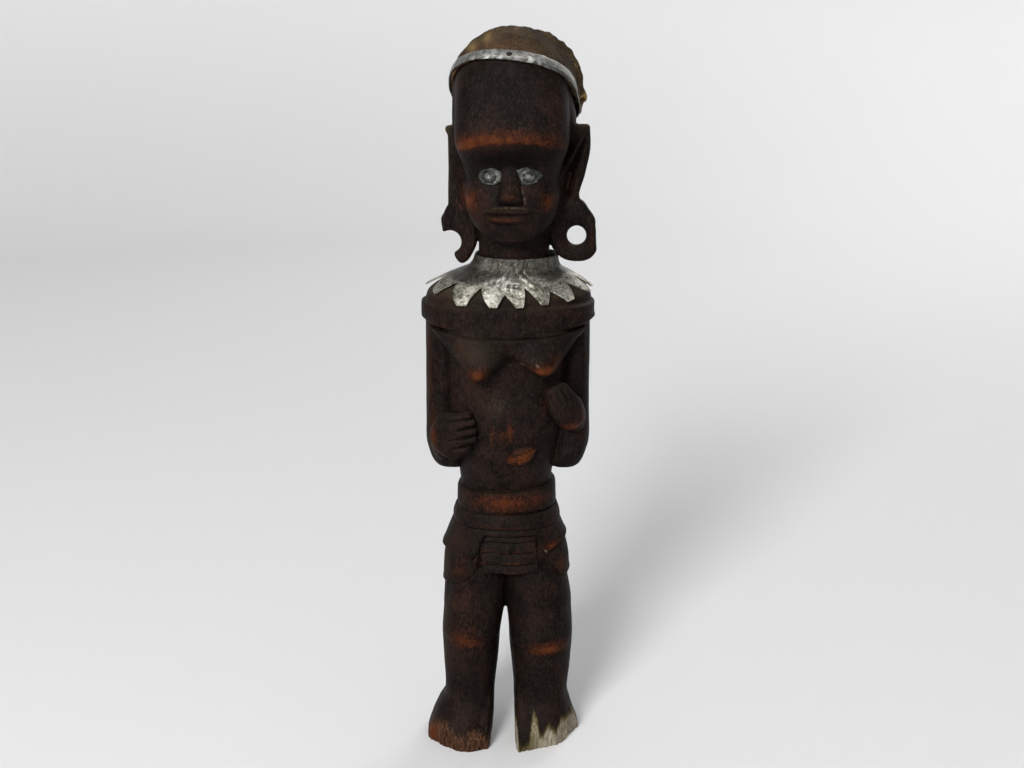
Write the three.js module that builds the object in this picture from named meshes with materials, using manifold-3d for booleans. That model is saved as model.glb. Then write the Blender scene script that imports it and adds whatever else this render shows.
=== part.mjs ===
// A carved wood female figure, 340 mm tall: one carved body with a metal collar,
// metal eye plates, and a hide cap held on the head by a nailed metal band.
// Millimetres, +Z up, the figure faces -Y, origin on the ground under its middle.
import * as THREE from 'three';
import { mergeVertices } from 'three/addons/utils/BufferGeometryUtils.js';
import Module from 'manifold-3d';

const wasm = await Module();
wasm.setup();

// Driving dimensions
const GAP = 0.3;
const FACET_ROOM = 0.3;
const HEAD_AXIS_X = 2.7;
const HEAD_TURN = THREE.MathUtils.degToRad(-3);
const HIDE_THICKNESS = 1.3;
const SHEET_THICKNESS = 0.8;
const BAND_WIDTH = 4.8;
// The headband lies in a sloping plane: height = level + side * x + back * y
const BAND_PLANE = { level: 314.3, side: -0.12, back: -0.54 };
const CAP_HEM = { level: 311.2, side: -0.13, back: -0.62 };
const NAIL_RADIUS = 1.4;
const NAIL_RISE = 29;
const BLUNTNESS = 0.55;
// The belt rises to the figure's left, its upper edge more than its lower
const BELT_TILT = 0.045;
const BELT_MIDDLE = 125;
const APRON_MIDDLE = 0.2;
const APRON_HALF_WIDTH = 13.5;
const APRON_SPREAD = 0.35;
const TOOTH_COUNT = 17;
const COLLAR_TOP = 238.6;

// Columns of every section table:
// height, centre x, centre y, half width, depth to the front, depth to the back,
// squareness of the front, squareness of the back (2 is an ellipse)
const CRANIUM = [
  [246, 0.5, 3, 13.5, 12, 10, 2.0, 2.0],
  [256, 0.5, 5, 19.0, 14, 17, 2.1, 2.1],
  [268, 0.4, 7, 24.5, 15, 23, 2.2, 2.1],
  [284, 0.2, 7, 27.6, 16, 26, 2.3, 2.1],
  [299, 0, 6, 28.0, 20, 28, 2.5, 2.1],
  [309, -0.4, 4, 26.8, 27, 29, 2.9, 2.1],
  [318, -0.6, 3, 25.4, 28.8, 28.0, 2.9, 2.1],
  [325, -0.6, 3, 22.8, 28.2, 25.2, 2.6, 2.1],
  [331, -0.4, 3, 18.4, 24.6, 20.4, 2.3, 2.0],
  [335.2, 0, 3, 13.0, 18.4, 14.2, 2.1, 2.0],
  [337.4, 0, 3, 8.0, 11.6, 9.0, 2.0, 2.0],
  [338.4, 0, 3, 3.0, 4.6, 3.4, 2.0, 2.0],
];
const FACE = [
  [246.4, 0, -17, 4.5, 4.8, 4, 2.0, 2.0],
  [247.8, 0, -15, 9.4, 9.2, 8, 2.1, 2.0],
  [251.4, 0, -12, 14.6, 14.0, 12, 2.3, 2.2],
  [256.0, 0, -9, 18.6, 18.4, 14, 2.4, 2.2],
  [262.0, 0, -8, 20.8, 19.8, 15, 2.5, 2.2],
  [267.0, 0, -8, 21.3, 19.8, 16, 2.6, 2.2],
  [274.0, 0, -8, 20.5, 18.2, 16, 2.8, 2.2],
  [281.0, 0, -8, 22.0, 18.4, 16, 3.0, 2.2],
  [287.5, 0, -8, 24.4, 20.8, 16, 3.2, 2.2],
  [293.0, 0, -8, 25.0, 22.8, 16, 3.3, 2.2],
  [299.0, 0, -8, 25.2, 22.4, 16, 3.3, 2.2],
  [317.0, -0.4, -8, 24.2, 18.8, 16, 3.0, 2.2],
  [323.0, -0.5, -8, 21.6, 17.4, 14, 2.8, 2.2],
  [326.0, -0.5, -8, 17.5, 14.6, 12, 2.5, 2.2],
];
const NOSE = [
  [264.4, 0, -26, 5.8, 6.2, 3, 1.9, 2.0],
  [266.4, 0, -26, 5.9, 7.4, 3, 1.7, 2.0],
  [271.0, 0, -25, 4.6, 7.0, 3, 1.7, 2.0],
  [276.5, 0, -24, 3.1, 5.2, 3, 1.8, 2.0],
  [281.5, 0, -23, 2.8, 4.0, 3, 1.9, 2.0],
];
const SHOULDERS = [
  [216, 0.3, 0, 38.2, 24.0, 23.9, 2.2, 2.2],
  [221, 0.5, 0, 37.6, 22.8, 22.8, 2.2, 2.2],
  [224, 0.8, 0, 35.4, 21.2, 21.4, 2.1, 2.1],
  [227, 1.4, 0, 30.8, 19.4, 19.8, 2.0, 2.0],
  [230, 2.2, 0.5, 23.6, 17.6, 18.0, 2.0, 2.0],
  [232.6, 2.8, 1, 17.8, 15.6, 16.0, 2.0, 2.0],
  [236, 2.9, 1, 16.0, 14.6, 15.2, 2.0, 2.0],
  [244, 3.0, 1, 16.0, 14.6, 15.0, 2.0, 2.0],
  [258, 3.4, 0, 16.4, 12, 15.0, 2.0, 2.0],
];
const SHOULDER_BAND = [
  [206.0, 0.2, 0, 39.0, 25.0, 25.0, 2.3, 2.2],
  [206.8, 0.2, 0, 40.0, 26.0, 25.8, 2.3, 2.2],
  [216.9, 0.2, 0, 40.0, 26.0, 25.8, 2.3, 2.2],
  [218.0, 0.2, 0, 39.2, 25.2, 25.0, 2.3, 2.2],
];
const TRUNK = [
  [108, -0.9, 0, 21.0, 18.0, 17.0, 2.3, 2.3],
  [128, -0.9, 0, 21.2, 18.4, 17.0, 2.3, 2.3],
  [138, -0.9, 0, 22.2, 20.6, 17.5, 2.3, 2.3],
  [148, -0.9, 0, 24.6, 22.4, 18.2, 2.3, 2.3],
  [158, -0.9, 0, 26.6, 22.4, 19.0, 2.3, 2.3],
  [170, -0.8, 0, 28.0, 21.2, 20.0, 2.4, 2.4],
  [190, -0.3, 0, 29.6, 20.5, 21.4, 2.4, 2.4],
  [210, 0.2, 0, 34.5, 22.5, 22.5, 2.4, 2.3],
];
const RIGHT_BREAST = [
  [186.4, -15.2, -22, 2.0, 8.0, 8, 2.0, 2.0],
  [187.5, -15.4, -22, 3.8, 9.8, 6, 2.0, 2.0],
  [190.0, -15.6, -20, 6.6, 12.2, 6, 1.9, 2.0],
  [194.0, -15.0, -18, 10.4, 13.2, 6, 1.9, 2.0],
  [199.0, -14.4, -15, 14.6, 13.8, 8, 1.9, 2.0],
  [206.6, -16.0, -12, 18.3, 12.2, 8, 2.1, 2.0],
];
const LEFT_BREAST = [
  [189.0, 17.4, -22, 2.4, 7.6, 8, 2.0, 2.0],
  [190.2, 17.2, -22, 4.4, 9.4, 6, 2.0, 2.0],
  [192.4, 16.4, -20, 7.4, 12.0, 6, 1.9, 2.0],
  [196.0, 15.6, -18, 11.0, 13.0, 6, 1.9, 2.0],
  [200.0, 15.0, -15, 14.4, 13.6, 8, 1.9, 2.0],
  [206.6, 16.6, -12, 18.5, 12.2, 8, 2.1, 2.0],
];
const UPPER_ARM = [
  [138.6, -25.6, 0, 5.6, 8.5, 8.0, 2.4, 2.2],
  [140.6, -26.6, 0, 7.4, 12.0, 10.5, 2.5, 2.2],
  [145.0, -28.2, 0, 8.4, 14.0, 12.0, 2.5, 2.2],
  [151.0, -29.8, 1, 8.3, 14.0, 12.5, 2.6, 2.2],
  [162.0, -30.6, 1, 7.6, 12.4, 12.5, 2.7, 2.2],
  [209.0, -30.4, 1, 7.6, 14.0, 14.0, 2.5, 2.2],
];
const BELT = [
  [119.9, -0.6, 0, 22.6, 20.6, 19.4, 2.3, 2.3],
  [120.5, -0.6, 0, 23.5, 21.4, 20.2, 2.3, 2.3],
  [129.0, -0.6, 0, 23.3, 21.2, 20.0, 2.3, 2.3],
  [130.4, -0.6, 0, 22.6, 20.4, 19.2, 2.3, 2.3],
];
const LOWER_BELT = [
  [112.4, -0.6, 0, 24.6, 22.2, 21.0, 2.3, 2.3],
  [113.2, -0.6, 0, 25.4, 22.9, 21.8, 2.3, 2.3],
  [119.2, -0.6, 0, 24.0, 21.6, 20.4, 2.3, 2.3],
];
const HIPS = [
  [67, -1.2, 0, 3.0, 5.0, 7.0, 2.0, 2.0],
  [76, -1.0, 0, 15.0, 12.0, 15.0, 2.2, 2.2],
  [84, -0.8, 0, 26.0, 16.6, 20.0, 2.4, 2.2],
  [94, -0.6, 0, 28.0, 18.8, 21.5, 2.4, 2.2],
  [104, -0.6, 0, 26.2, 19.4, 21.0, 2.3, 2.2],
  [116, -0.6, 0, 22.6, 19.6, 19.0, 2.3, 2.3],
];
const LOWER_SKIRT = [
  [77.0, -0.6, 0, 29.9, 19.4, 21.6, 2.5, 2.2],
  [80.0, -0.6, 0, 30.4, 20.0, 22.2, 2.5, 2.2],
  [92.0, -0.6, 0, 30.0, 20.6, 23.2, 2.4, 2.2],
  [108.0, -0.6, 0, 26.4, 20.4, 21.6, 2.3, 2.2],
];
const UPPER_SKIRT = [
  [92.0, -0.6, 0, 30.6, 22.0, 24.2, 2.4, 2.2],
  [98.0, -0.6, 0, 30.6, 22.6, 24.4, 2.4, 2.2],
  [104.0, -0.6, 0, 28.8, 22.6, 23.6, 2.3, 2.2],
  [113.4, -0.6, 0, 25.0, 21.9, 21.2, 2.3, 2.2],
];
const RIGHT_LEG = [
  [0, -24.1, -1, 15.6, 25.6, 17.5, 2.7, 2.3],
  [2.5, -23.6, -1, 15.9, 25.4, 18.0, 2.7, 2.3],
  [8, -22.4, -1, 15.3, 22.6, 17.5, 2.6, 2.3],
  [15, -20.8, -1, 14.0, 18.4, 15.5, 2.4, 2.2],
  [23, -18.6, -1, 12.2, 15.8, 14.2, 2.3, 2.2],
  [38, -18.3, 0, 13.0, 15.6, 17.2, 2.3, 2.2],
  [50, -18.2, 0, 13.8, 17.2, 16.6, 2.3, 2.2],
  [66, -16.2, 0, 14.6, 17.0, 18.4, 2.4, 2.2],
  [97, -13.2, 0, 12.6, 13.6, 15.6, 2.4, 2.2],
];
const LEFT_LEG = [
  [0, 19.4, -1, 15.8, 25.0, 17.5, 2.6, 2.3],
  [3.5, 19.2, -1, 15.5, 24.6, 18.0, 2.6, 2.3],
  [9, 18.0, -1, 14.8, 22.0, 17.5, 2.5, 2.3],
  [15, 17.0, -1, 13.9, 18.4, 15.5, 2.4, 2.2],
  [23, 15.9, -1, 13.2, 15.8, 14.2, 2.3, 2.2],
  [38, 16.2, 0, 14.3, 15.6, 17.2, 2.3, 2.2],
  [50, 16.2, 0, 15.2, 17.2, 16.6, 2.3, 2.2],
  [66, 15.2, 0, 15.4, 17.0, 18.4, 2.4, 2.2],
  [97, 12.2, 0, 12.6, 13.6, 15.6, 2.4, 2.2],
];

// Every column of a table at a height, joined by curves that never overshoot the rows
function rowAt(table, height) {
  const last = table.length - 1;
  const level = Math.min(Math.max(height, table[0][0]), table[last][0]);
  let i = 0;
  while (i < last - 1 && level > table[i + 1][0]) i += 1;
  const step = table[i + 1][0] - table[i][0];
  const t = (level - table[i][0]) / step;
  const rise = (row, column) => {
    return (table[row + 1][column] - table[row][column]) / (table[row + 1][0] - table[row][0]);
  };
  const slope = (row, column) => {
    if (row === 0) return rise(0, column);
    if (row === last) return rise(last - 1, column);
    const before = rise(row - 1, column);
    const after = rise(row, column);
    return before * after <= 0 ? 0 : (2 * before * after) / (before + after);
  };
  return table[i].map((value, column) => {
    const change = table[i + 1][column] - value;
    const bend = step * ((1 - t) * slope(i, column) - t * slope(i + 1, column));
    return value + t * change + t * (1 - t) * (bend + (2 * t - 1) * change);
  });
}

// A point of the superellipse outline of a row, for a point (across, along) of the unit circle
function outlinePoint(row, across, along, grow = 0) {
  const [, x, y, width, front, back, frontPower, backPower] = row;
  const reach = Math.hypot(across, along);
  if (reach < 1e-6) return { x, y };
  const power = 2 / (along < 0 ? frontPower : backPower);
  const depth = (along < 0 ? front : back) + grow;
  const bent = (value) => Math.sign(value) * Math.abs(value / reach) ** power * reach;
  return { x: x + (width + grow) * bent(across), y: y + depth * bent(along) };
}

// A solid whose sections follow a table, with a number of rings between its rows
function loft(table, sides, between = 1, grow = 0) {
  const rows = table.length - 1;
  const shape = new THREE.CylinderGeometry(1, 1, rows, sides, rows * between);
  const place = shape.attributes.position;
  for (let i = 0; i < place.count; i += 1) {
    const mark = Math.min(place.getY(i) + rows / 2, rows);
    const row = Math.min(Math.floor(mark), rows - 1);
    const height = table[row][0] + (mark - row) * (table[row + 1][0] - table[row][0]);
    const { x, y } = outlinePoint(rowAt(table, height), place.getX(i), -place.getZ(i), grow);
    const lift = mark === rows ? grow : 0;
    place.setXYZ(i, x, y, height + lift);
  }
  return shape;
}

// A rounded limb through stations of x, y, z, half width and half height, both across the path
function limb(stations, sides, rings, up = new THREE.Vector3(0, 0, 1)) {
  const path = new THREE.CatmullRomCurve3(stations.map(([x, y, z]) => new THREE.Vector3(x, y, z)));
  const shape = new THREE.SphereGeometry(1, sides, rings);
  shape.rotateX(Math.PI / 2);
  const place = shape.attributes.position;
  const spans = stations.length - 1;
  for (let i = 0; i < place.count; i += 1) {
    const ball = new THREE.Vector3().fromBufferAttribute(place, i);
    const turn = (1 - THREE.MathUtils.clamp(ball.z, -1, 1)) / 2;
    const reach = Math.hypot(ball.x, ball.y);
    const round = reach ** BLUNTNESS;
    const centre = path.getPoint(turn);
    const forward = path.getTangent(turn);
    const side = new THREE.Vector3().crossVectors(up, forward).normalize();
    const rise = new THREE.Vector3().crossVectors(forward, side);
    const span = Math.min(Math.floor(turn * spans), spans - 1);
    const part = turn * spans - span;
    const wide = THREE.MathUtils.lerp(stations[span][3], stations[span + 1][3], part);
    const high = THREE.MathUtils.lerp(stations[span][4], stations[span + 1][4], part);
    const unit = reach < 1e-6 ? 0 : round / reach;
    centre.addScaledVector(side, -ball.x * unit * wide).addScaledVector(rise, ball.y * unit * high);
    place.setXYZ(i, centre.x, centre.y, centre.z);
  }
  return shape;
}

// A plate with an outline in the XZ plane, from the front y to the back y
function plate(points, front, back, holes = []) {
  const drawn = points instanceof THREE.Shape;
  const outline = drawn ? points : new THREE.Shape(points.map(([x, z]) => new THREE.Vector2(x, z)));
  outline.holes.push(...holes);
  const shape = new THREE.ExtrudeGeometry(outline, {
    depth: back - front,
    bevelEnabled: false,
    curveSegments: 5,
  });
  shape.rotateX(Math.PI / 2);
  return shape.translate(0, back, 0);
}

function solid(geometry) {
  const bare = geometry.clone();
  bare.deleteAttribute('normal');
  bare.deleteAttribute('uv');
  const merged = mergeVertices(bare, 1e-4);
  const vertProperties = Float32Array.from(merged.attributes.position.array);
  const triVerts = Uint32Array.from(merged.index.array);
  return new wasm.Manifold(new wasm.Mesh({ numProp: 3, vertProperties, triVerts }));
}

function geometryOf(manifold) {
  const { vertProperties, triVerts } = manifold.getMesh();
  const shape = new THREE.BufferGeometry();
  shape.setAttribute('position', new THREE.BufferAttribute(Float32Array.from(vertProperties), 3));
  shape.setIndex([...triVerts]);
  shape.computeVertexNormals();
  return shape;
}

// The head's own frame is turned a little to the figure's right and set over the neck
function onHead(geometry) {
  return geometry.rotateZ(HEAD_TURN).translate(HEAD_AXIS_X, 0, 0);
}

function join(geometries) {
  return geometries.map(solid).reduce((whole, piece) => whole.add(piece));
}

function cut(body, geometries) {
  return geometries.map(solid).reduce((rest, piece) => rest.subtract(piece), body);
}

function mirrored(table) {
  return table.map(([height, x, ...rest]) => [height, -x, ...rest]);
}

// Lips: two bars that follow the curve of the face
function lip(height, thick, reach) {
  const stations = [-1, -0.5, 0, 0.5, 1].map((t) => {
    return [reach * t, -28.2 + 1.9 * t * t, height + 0.5 * t * t, 2.0, thick * (1 - 0.25 * t * t)];
  });
  return limb(stations, 6, 7);
}

function wholeEar() {
  const outline = new THREE.Shape();
  outline.moveTo(20, 297.2);
  outline.lineTo(14, 262);
  outline.lineTo(16.2, 247);
  outline.quadraticCurveTo(17.6, 237.2, 27.5, 235.4);
  outline.quadraticCurveTo(36.8, 235.2, 37.4, 241.5);
  outline.lineTo(37.2, 251.0);
  outline.quadraticCurveTo(36.8, 255.0, 32.2, 259.6);
  outline.quadraticCurveTo(29.2, 262.4, 29.8, 266.5);
  outline.quadraticCurveTo(32.4, 276, 34.5, 289.6);
  outline.lineTo(34.0, 297.2);
  const hole = new THREE.Path();
  hole.absarc(28.7, 247.2, 4.4, 0, Math.PI * 2, true);
  return plate(outline, -3, 4.5, [hole]);
}

// The other ear lost the outer half of its ring: a stub above and a hooked piece below stay
function brokenEar() {
  const outline = new THREE.Shape();
  outline.moveTo(-20, 296.3);
  outline.lineTo(-30.5, 296.1);
  outline.lineTo(-29.6, 292.8);
  outline.lineTo(-29.3, 261.5);
  outline.lineTo(-32.7, 255.7);
  outline.lineTo(-31.9, 250.6);
  outline.lineTo(-30.1, 248.3);
  outline.lineTo(-27.3, 249.2);
  outline.quadraticCurveTo(-22.3, 245.4, -25.1, 239.9);
  outline.lineTo(-26.2, 238.1);
  outline.lineTo(-24.6, 234.3);
  outline.lineTo(-22.4, 234.3);
  outline.quadraticCurveTo(-18.1, 238, -16.8, 244.4);
  outline.lineTo(-14, 262);
  return plate(outline, -3, 4.5);
}

// A shallow leaf-shaped hollow in the front of an ear
function earHollow(side) {
  const hollow = new THREE.SphereGeometry(1, 8, 7).scale(2.9, 3.4, 14);
  hollow.rotateY(THREE.MathUtils.degToRad(6 * side));
  return hollow.translate((side > 0 ? 30.2 : 27.4) * side, -3.4, 280);
}

function rightForearm() {
  return limb([
    [-31, 4, 151, 5.5, 10],
    [-30.5, -8, 152, 5.6, 9.6],
    [-30, -18.5, 155, 5, 8.6],
  ], 10, 6);
}

function leftForearm() {
  return limb([
    [31, 3, 152, 5.5, 10.5],
    [31, -9, 157, 5.6, 9.4],
    [29.5, -16.5, 168, 6.0, 8.0],
    [24, -18.0, 178, 5.0, 6.4],
  ], 10, 6);
}

// A hand lying flat on the body is a rounded paddle; the grooves between the fingers are cut after
function rightHand() {
  return limb([
    [-34.6, -16.5, 155.5, 5, 7.5],
    [-28, -20.8, 157.3, 4.6, 11.4],
    [-20, -22.8, 159, 3.4, 10.8],
    [-15.4, -23.0, 160, 2.6, 9.4],
  ], 12, 7);
}

function leftHand() {
  return limb([
    [30.4, -18.0, 163.8, 6.4, 5],
    [28.4, -21.4, 169, 8.4, 4.6],
    [24.4, -22.8, 176.5, 8.0, 3.8],
    [20.8, -22.6, 182, 5.6, 2.8],
  ], 12, 7, new THREE.Vector3(0, -1, 0));
}

function fingerGrooves() {
  const right = [0, 1, 2, 3].map((n) => {
    const level = 152.2 + 4.1 * n;
    const start = [-25.5, -26.4, level - 0.6, 1.2, 0.8];
    return limb([start, [-19, -26.4, level + 0.6, 1.6, 0.9], [-11.5, -25.0, level + 2.0, 1.8, 1.0]], 5, 5);
  });
  const left = [-1, 0, 1].map((n) => {
    const start = [25.8 + 2.9 * n, -27.2, 173.5 + 1.7 * n, 0.7, 1.2];
    const end = [18.2 + 2.9 * n, -25.2, 186 + 1.7 * n, 0.9, 1.8];
    return limb([start, end], 5, 5, new THREE.Vector3(0, -1, 0));
  });
  return [...right, ...left];
}

function navel() {
  return limb([
    [-0.8, -22.6, 144.6, 1.8, 2.2],
    [6.0, -23.4, 148.4, 2.4, 4.2],
    [13.0, -21.4, 152.4, 1.8, 2.2],
  ], 8, 6);
}

// The front panel: four overlapping strips that hang between the skirt flaps
function apronStrips() {
  const edges = [110.4, 106.0, 100.7, 95.5, 90.4];
  return edges.slice(1).map((bottom, n) => {
    const top = edges[n] + 0.6;
    const proud = 1.4 - 0.25 * n;
    const row = rowAt(HIPS, (top + bottom) / 2);
    const strip = loft([
      [bottom, row[1], 0, row[3], row[4] + proud, 4, row[6], 2],
      [bottom + 0.6, row[1], 0, row[3], row[4] + proud + 0.3, 4, row[6], 2],
      [top, row[1], 0, row[3], row[4] + proud - 0.7, 4, row[6], 2],
    ], 20);
    const half = APRON_HALF_WIDTH + APRON_SPREAD * n;
    const window = new THREE.BoxGeometry(2 * half, 36, top - bottom + 2);
    window.translate(APRON_MIDDLE, -22, (top + bottom) / 2);
    return solid(strip).intersect(solid(window));
  });
}

function skirt() {
  const base = [[60, 60], [-60, 60]];
  const upperRight = [[-60, 112], [-30, 101.6], [-18.6, 94.8], [-16.4, 95.2], [-10.7, 110.4]];
  const upperLeft = [[13.2, 110.4], [17.2, 99.6], [30, 104.4], [60, 112]];
  const upperOpening = plate([...upperLeft, ...base, ...upperRight], -60, 0);
  const backHem = [[60, 112], [30, 104.4], [12, 98], [-12, 98], [-30, 101.6], [-60, 112]];
  const upperHem = plate([...base, ...backHem.toReversed()], -0.1, 60);
  const lowerLeft = [[13.2, 112], [17.4, 98.6], [26.4, 82.0], [30, 80], [60, 80]];
  const lowerRightHem = [[-60, 78], [-30, 78], [-27.2, 76], [-22.6, 78.6]];
  const lowerRight = [...lowerRightHem, [-18.6, 86], [-17.6, 95], [-10.7, 112]];
  const lowerOpening = plate([...lowerLeft, ...base, ...lowerRight], -60, 0);
  const lowerHem = plate([...base, [-60, 78], [-30, 78], [0, 83], [30, 80], [60, 80]], -0.1, 60);
  const upper = cut(solid(loft(UPPER_SKIRT, 24)), [upperOpening, upperHem]);
  const lower = cut(solid(loft(LOWER_SKIRT, 24)), [lowerOpening, lowerHem]);
  return upper.add(lower);
}

// Broken toes: flat splits that take the front edges off both feet
function footBreaks() {
  const chip = (x, y, turn, lean, width) => {
    const block = new THREE.BoxGeometry(width, 20, 30).translate(0, -10, 0);
    block.rotateX(THREE.MathUtils.degToRad(lean)).rotateZ(THREE.MathUtils.degToRad(turn));
    return block.translate(x, y, 0);
  };
  return [
    chip(-37.5, -19.0, -42, 5, 26),
    chip(-24, -25.6, -6, 8, 13),
    chip(8, -25.0, 2, 7, 12),
    chip(25, -20.6, 32, 5, 22),
    chip(35.2, -8.5, 62, 5, 16),
  ];
}

function eyeOutline(side) {
  const outline = new THREE.Shape();
  if (side < 0) {
    outline.moveTo(-14.9, 276.2);
    outline.quadraticCurveTo(-12.5, 280.6, -7.6, 280.2);
    outline.quadraticCurveTo(-3.2, 279.4, -3.3, 277.0);
    outline.quadraticCurveTo(-5.6, 273.4, -10.6, 273.2);
    outline.quadraticCurveTo(-13.8, 273.4, -14.9, 276.2);
    return outline;
  }
  outline.moveTo(3.0, 277.4);
  outline.quadraticCurveTo(5.0, 280.8, 9.6, 280.6);
  outline.quadraticCurveTo(14.6, 279.6, 13.8, 276.6);
  outline.quadraticCurveTo(12.0, 273.2, 8.6, 273.0);
  outline.quadraticCurveTo(4.4, 273.2, 3.0, 277.4);
  return outline;
}

// An eye plate bent round the face, or with a grown outline the socket that it lies in
function eyePlate(side, grow) {
  const shape = plate(eyeOutline(side), -1.2 - grow, 0.9 + grow);
  const middle = new THREE.Vector3(8.8 * side, 0, 276.8);
  const place = shape.attributes.position;
  for (let i = 0; i < place.count; i += 1) {
    const x = middle.x + (place.getX(i) - middle.x) * (1 + grow / 5);
    const z = middle.z + (place.getZ(i) - middle.z) * (1 + grow / 3.4);
    const row = rowAt(FACE, middle.z);
    const fall = 1 - (Math.abs(x) / row[3]) ** row[6];
    place.setXYZ(i, x, row[2] - row[4] * fall ** (1 / row[6]) + place.getY(i) * 0.62, z);
  }
  return shape;
}

function figure() {
  const head = join([
    loft(CRANIUM, 22),
    loft(FACE, 22),
    loft(NOSE, 10),
    lip(261.4, 1.5, 10.6),
    lip(257.7, 1.7, 10.0),
    wholeEar(),
    brokenEar(),
  ].map(onHead));
  const carvedHead = cut(head, [
    onHead(earHollow(1)),
    onHead(earHollow(-1)),
    onHead(eyePlate(1, GAP)),
    onHead(eyePlate(-1, GAP)),
  ]);
  const belt = loft(BELT, 26);
  const place = belt.attributes.position;
  for (let i = 0; i < place.count; i += 1) {
    const tilt = place.getZ(i) > BELT_MIDDLE ? BELT_TILT : 0.3 * BELT_TILT;
    place.setZ(i, place.getZ(i) + tilt * place.getX(i));
  }
  const body = join([
    loft(SHOULDERS, 26),
    loft(SHOULDER_BAND, 30),
    loft(TRUNK, 22),
    loft(RIGHT_BREAST, 14),
    loft(LEFT_BREAST, 14),
    loft(UPPER_ARM, 12),
    loft(mirrored(UPPER_ARM), 12),
    rightForearm(),
    leftForearm(),
    rightHand(),
    leftHand(),
    navel(),
    belt,
    loft(LOWER_BELT, 26),
    loft(HIPS, 22),
    loft(RIGHT_LEG, 18),
    loft(LEFT_LEG, 18),
  ]);
  const dressed = apronStrips().reduce((whole, strip) => whole.add(strip), body.add(skirt()));
  return geometryOf(cut(dressed, [...footBreaks(), ...fingerGrooves()]).add(carvedHead));
}

// The point of the grown cranium that lies in a sloping plane, for an angle round the head
function rimPoint(angle, plane, grow, lift) {
  const across = Math.cos(angle);
  const along = Math.sin(angle);
  let height = plane.level;
  let spot = { x: 0, y: 0 };
  for (let n = 0; n < 12; n += 1) {
    spot = outlinePoint(rowAt(CRANIUM, height), across, along, grow);
    height = plane.level + plane.side * spot.x + plane.back * spot.y + lift;
  }
  return [spot.x, spot.y, height];
}

// The metal band, or with some room the channel that it needs
function bandRing(room) {
  const inner = HIDE_THICKNESS + 2 * GAP + FACET_ROOM - room;
  const ring = new THREE.TorusGeometry(2, 1, 4, 32);
  const place = ring.attributes.position;
  for (let i = 0; i < place.count; i += 1) {
    const angle = Math.atan2(place.getY(i), place.getX(i));
    const side = Math.hypot(place.getX(i), place.getY(i)) - 2;
    const corner = Math.round(Math.atan2(place.getZ(i), side) / (Math.PI / 2));
    const outside = corner === 0 || corner === 1;
    const above = corner === 1 || Math.abs(corner) === 2;
    const grow = inner + (outside ? SHEET_THICKNESS + 2 * room : 0);
    const lift = (above ? 1 : -1) * (BAND_WIDTH / 2 + room);
    place.setXYZ(i, ...rimPoint(angle, BAND_PLANE, grow, lift));
  }
  return ring;
}

function hideCap() {
  const shell = solid(loft(CRANIUM, 22, 1, GAP + HIDE_THICKNESS));
  const fold = limb([
    [26.5, 13, 305, 4.4, 4.4],
    [28.2, 9, 312, 4.6, 5],
    [25.4, 6, 321, 5, 5.4],
    [17, 4, 330, 4.4, 5],
  ], 10, 7);
  const below = new THREE.BoxGeometry(120, 160, 120).translate(0, 0, -60);
  below.rotateX(Math.atan(CAP_HEM.back)).rotateY(-Math.atan(CAP_HEM.side)).translate(0, 0, CAP_HEM.level);
  const hollow = [loft(CRANIUM, 22, 1, GAP), loft(FACE, 26, 1, GAP), below, bandRing(GAP)];
  return onHead(geometryOf(cut(shell.add(solid(fold)), hollow)));
}

function nail() {
  const profile = [[0, 0], [NAIL_RADIUS, 0], [NAIL_RADIUS * 0.9, 0.5], [NAIL_RADIUS * 0.5, 0.85], [0, 0.95]];
  const head = new THREE.LatheGeometry(profile.map(([x, y]) => new THREE.Vector2(x, y)), 10);
  const grow = HIDE_THICKNESS + 2 * GAP + FACET_ROOM + SHEET_THICKNESS + GAP;
  const [x, y, z] = rimPoint(-Math.PI / 2, BAND_PLANE, grow, 0);
  head.rotateX(THREE.MathUtils.degToRad(180 - NAIL_RISE));
  return onHead(head.translate(x, y, z));
}

// The collar: a short upright round the neck, then a flare that ends in cut teeth
const COLLAR_PROFILE = [
  [217.0, 0.3, 0, 40.0, 25.4, 25.2, 2.2, 2.2],
  [221.0, 0.5, 0, 38.9, 24.2, 24.2, 2.2, 2.2],
  [224.4, 0.8, 0, 36.6, 22.4, 22.6, 2.1, 2.1],
  [227.6, 1.4, 0, 31.8, 20.6, 21.0, 2.0, 2.0],
  [230.8, 2.4, 0.5, 25.0, 19.0, 19.4, 2.0, 2.0],
  [233.4, 3.3, 1, 19.8, 17.6, 18.0, 2.0, 2.0],
  [238.6, 4.0, 1, 17.6, 16.8, 17.2, 2.0, 2.0],
];

function collar() {
  const columns = TOOTH_COUNT * 3;
  const rows = 3;
  const ringSteps = 2 * rows + 2;
  const sheet = new THREE.TorusGeometry(2, 1, ringSteps, columns);
  const place = sheet.attributes.position;
  for (let i = 0; i < place.count; i += 1) {
    const ring = Math.floor(i / (columns + 1)) % ringSteps;
    const column = (i % (columns + 1)) % columns;
    const outside = ring <= rows;
    const climb = (outside ? ring : ringSteps - 1 - ring) / rows;
    const round = (column / columns) * Math.PI * 2;
    const angle = round - 0.12 * Math.sin(2 * round) - Math.PI / 2;
    const tooth = Math.floor(column / 3);
    const uneven = Math.sin(tooth * 2.4);
    const tip = 222.4 - 3.6 * Math.cos(2 * round) + 0.4 * uneven;
    const notch = 227.2 - 1.6 * Math.cos(2 * round) + 0.9 * Math.sin(tooth * 4.1);
    const low = column % 3 === 0 ? notch : tip;
    const height = low + (COLLAR_TOP - low) * climb;
    const grow = outside ? SHEET_THICKNESS : 0;
    const { x, y } = outlinePoint(rowAt(COLLAR_PROFILE, height), Math.cos(angle), Math.sin(angle), grow);
    place.setXYZ(i, x, y, height + (outside ? 0.45 : 0));
  }
  return sheet;
}

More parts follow.
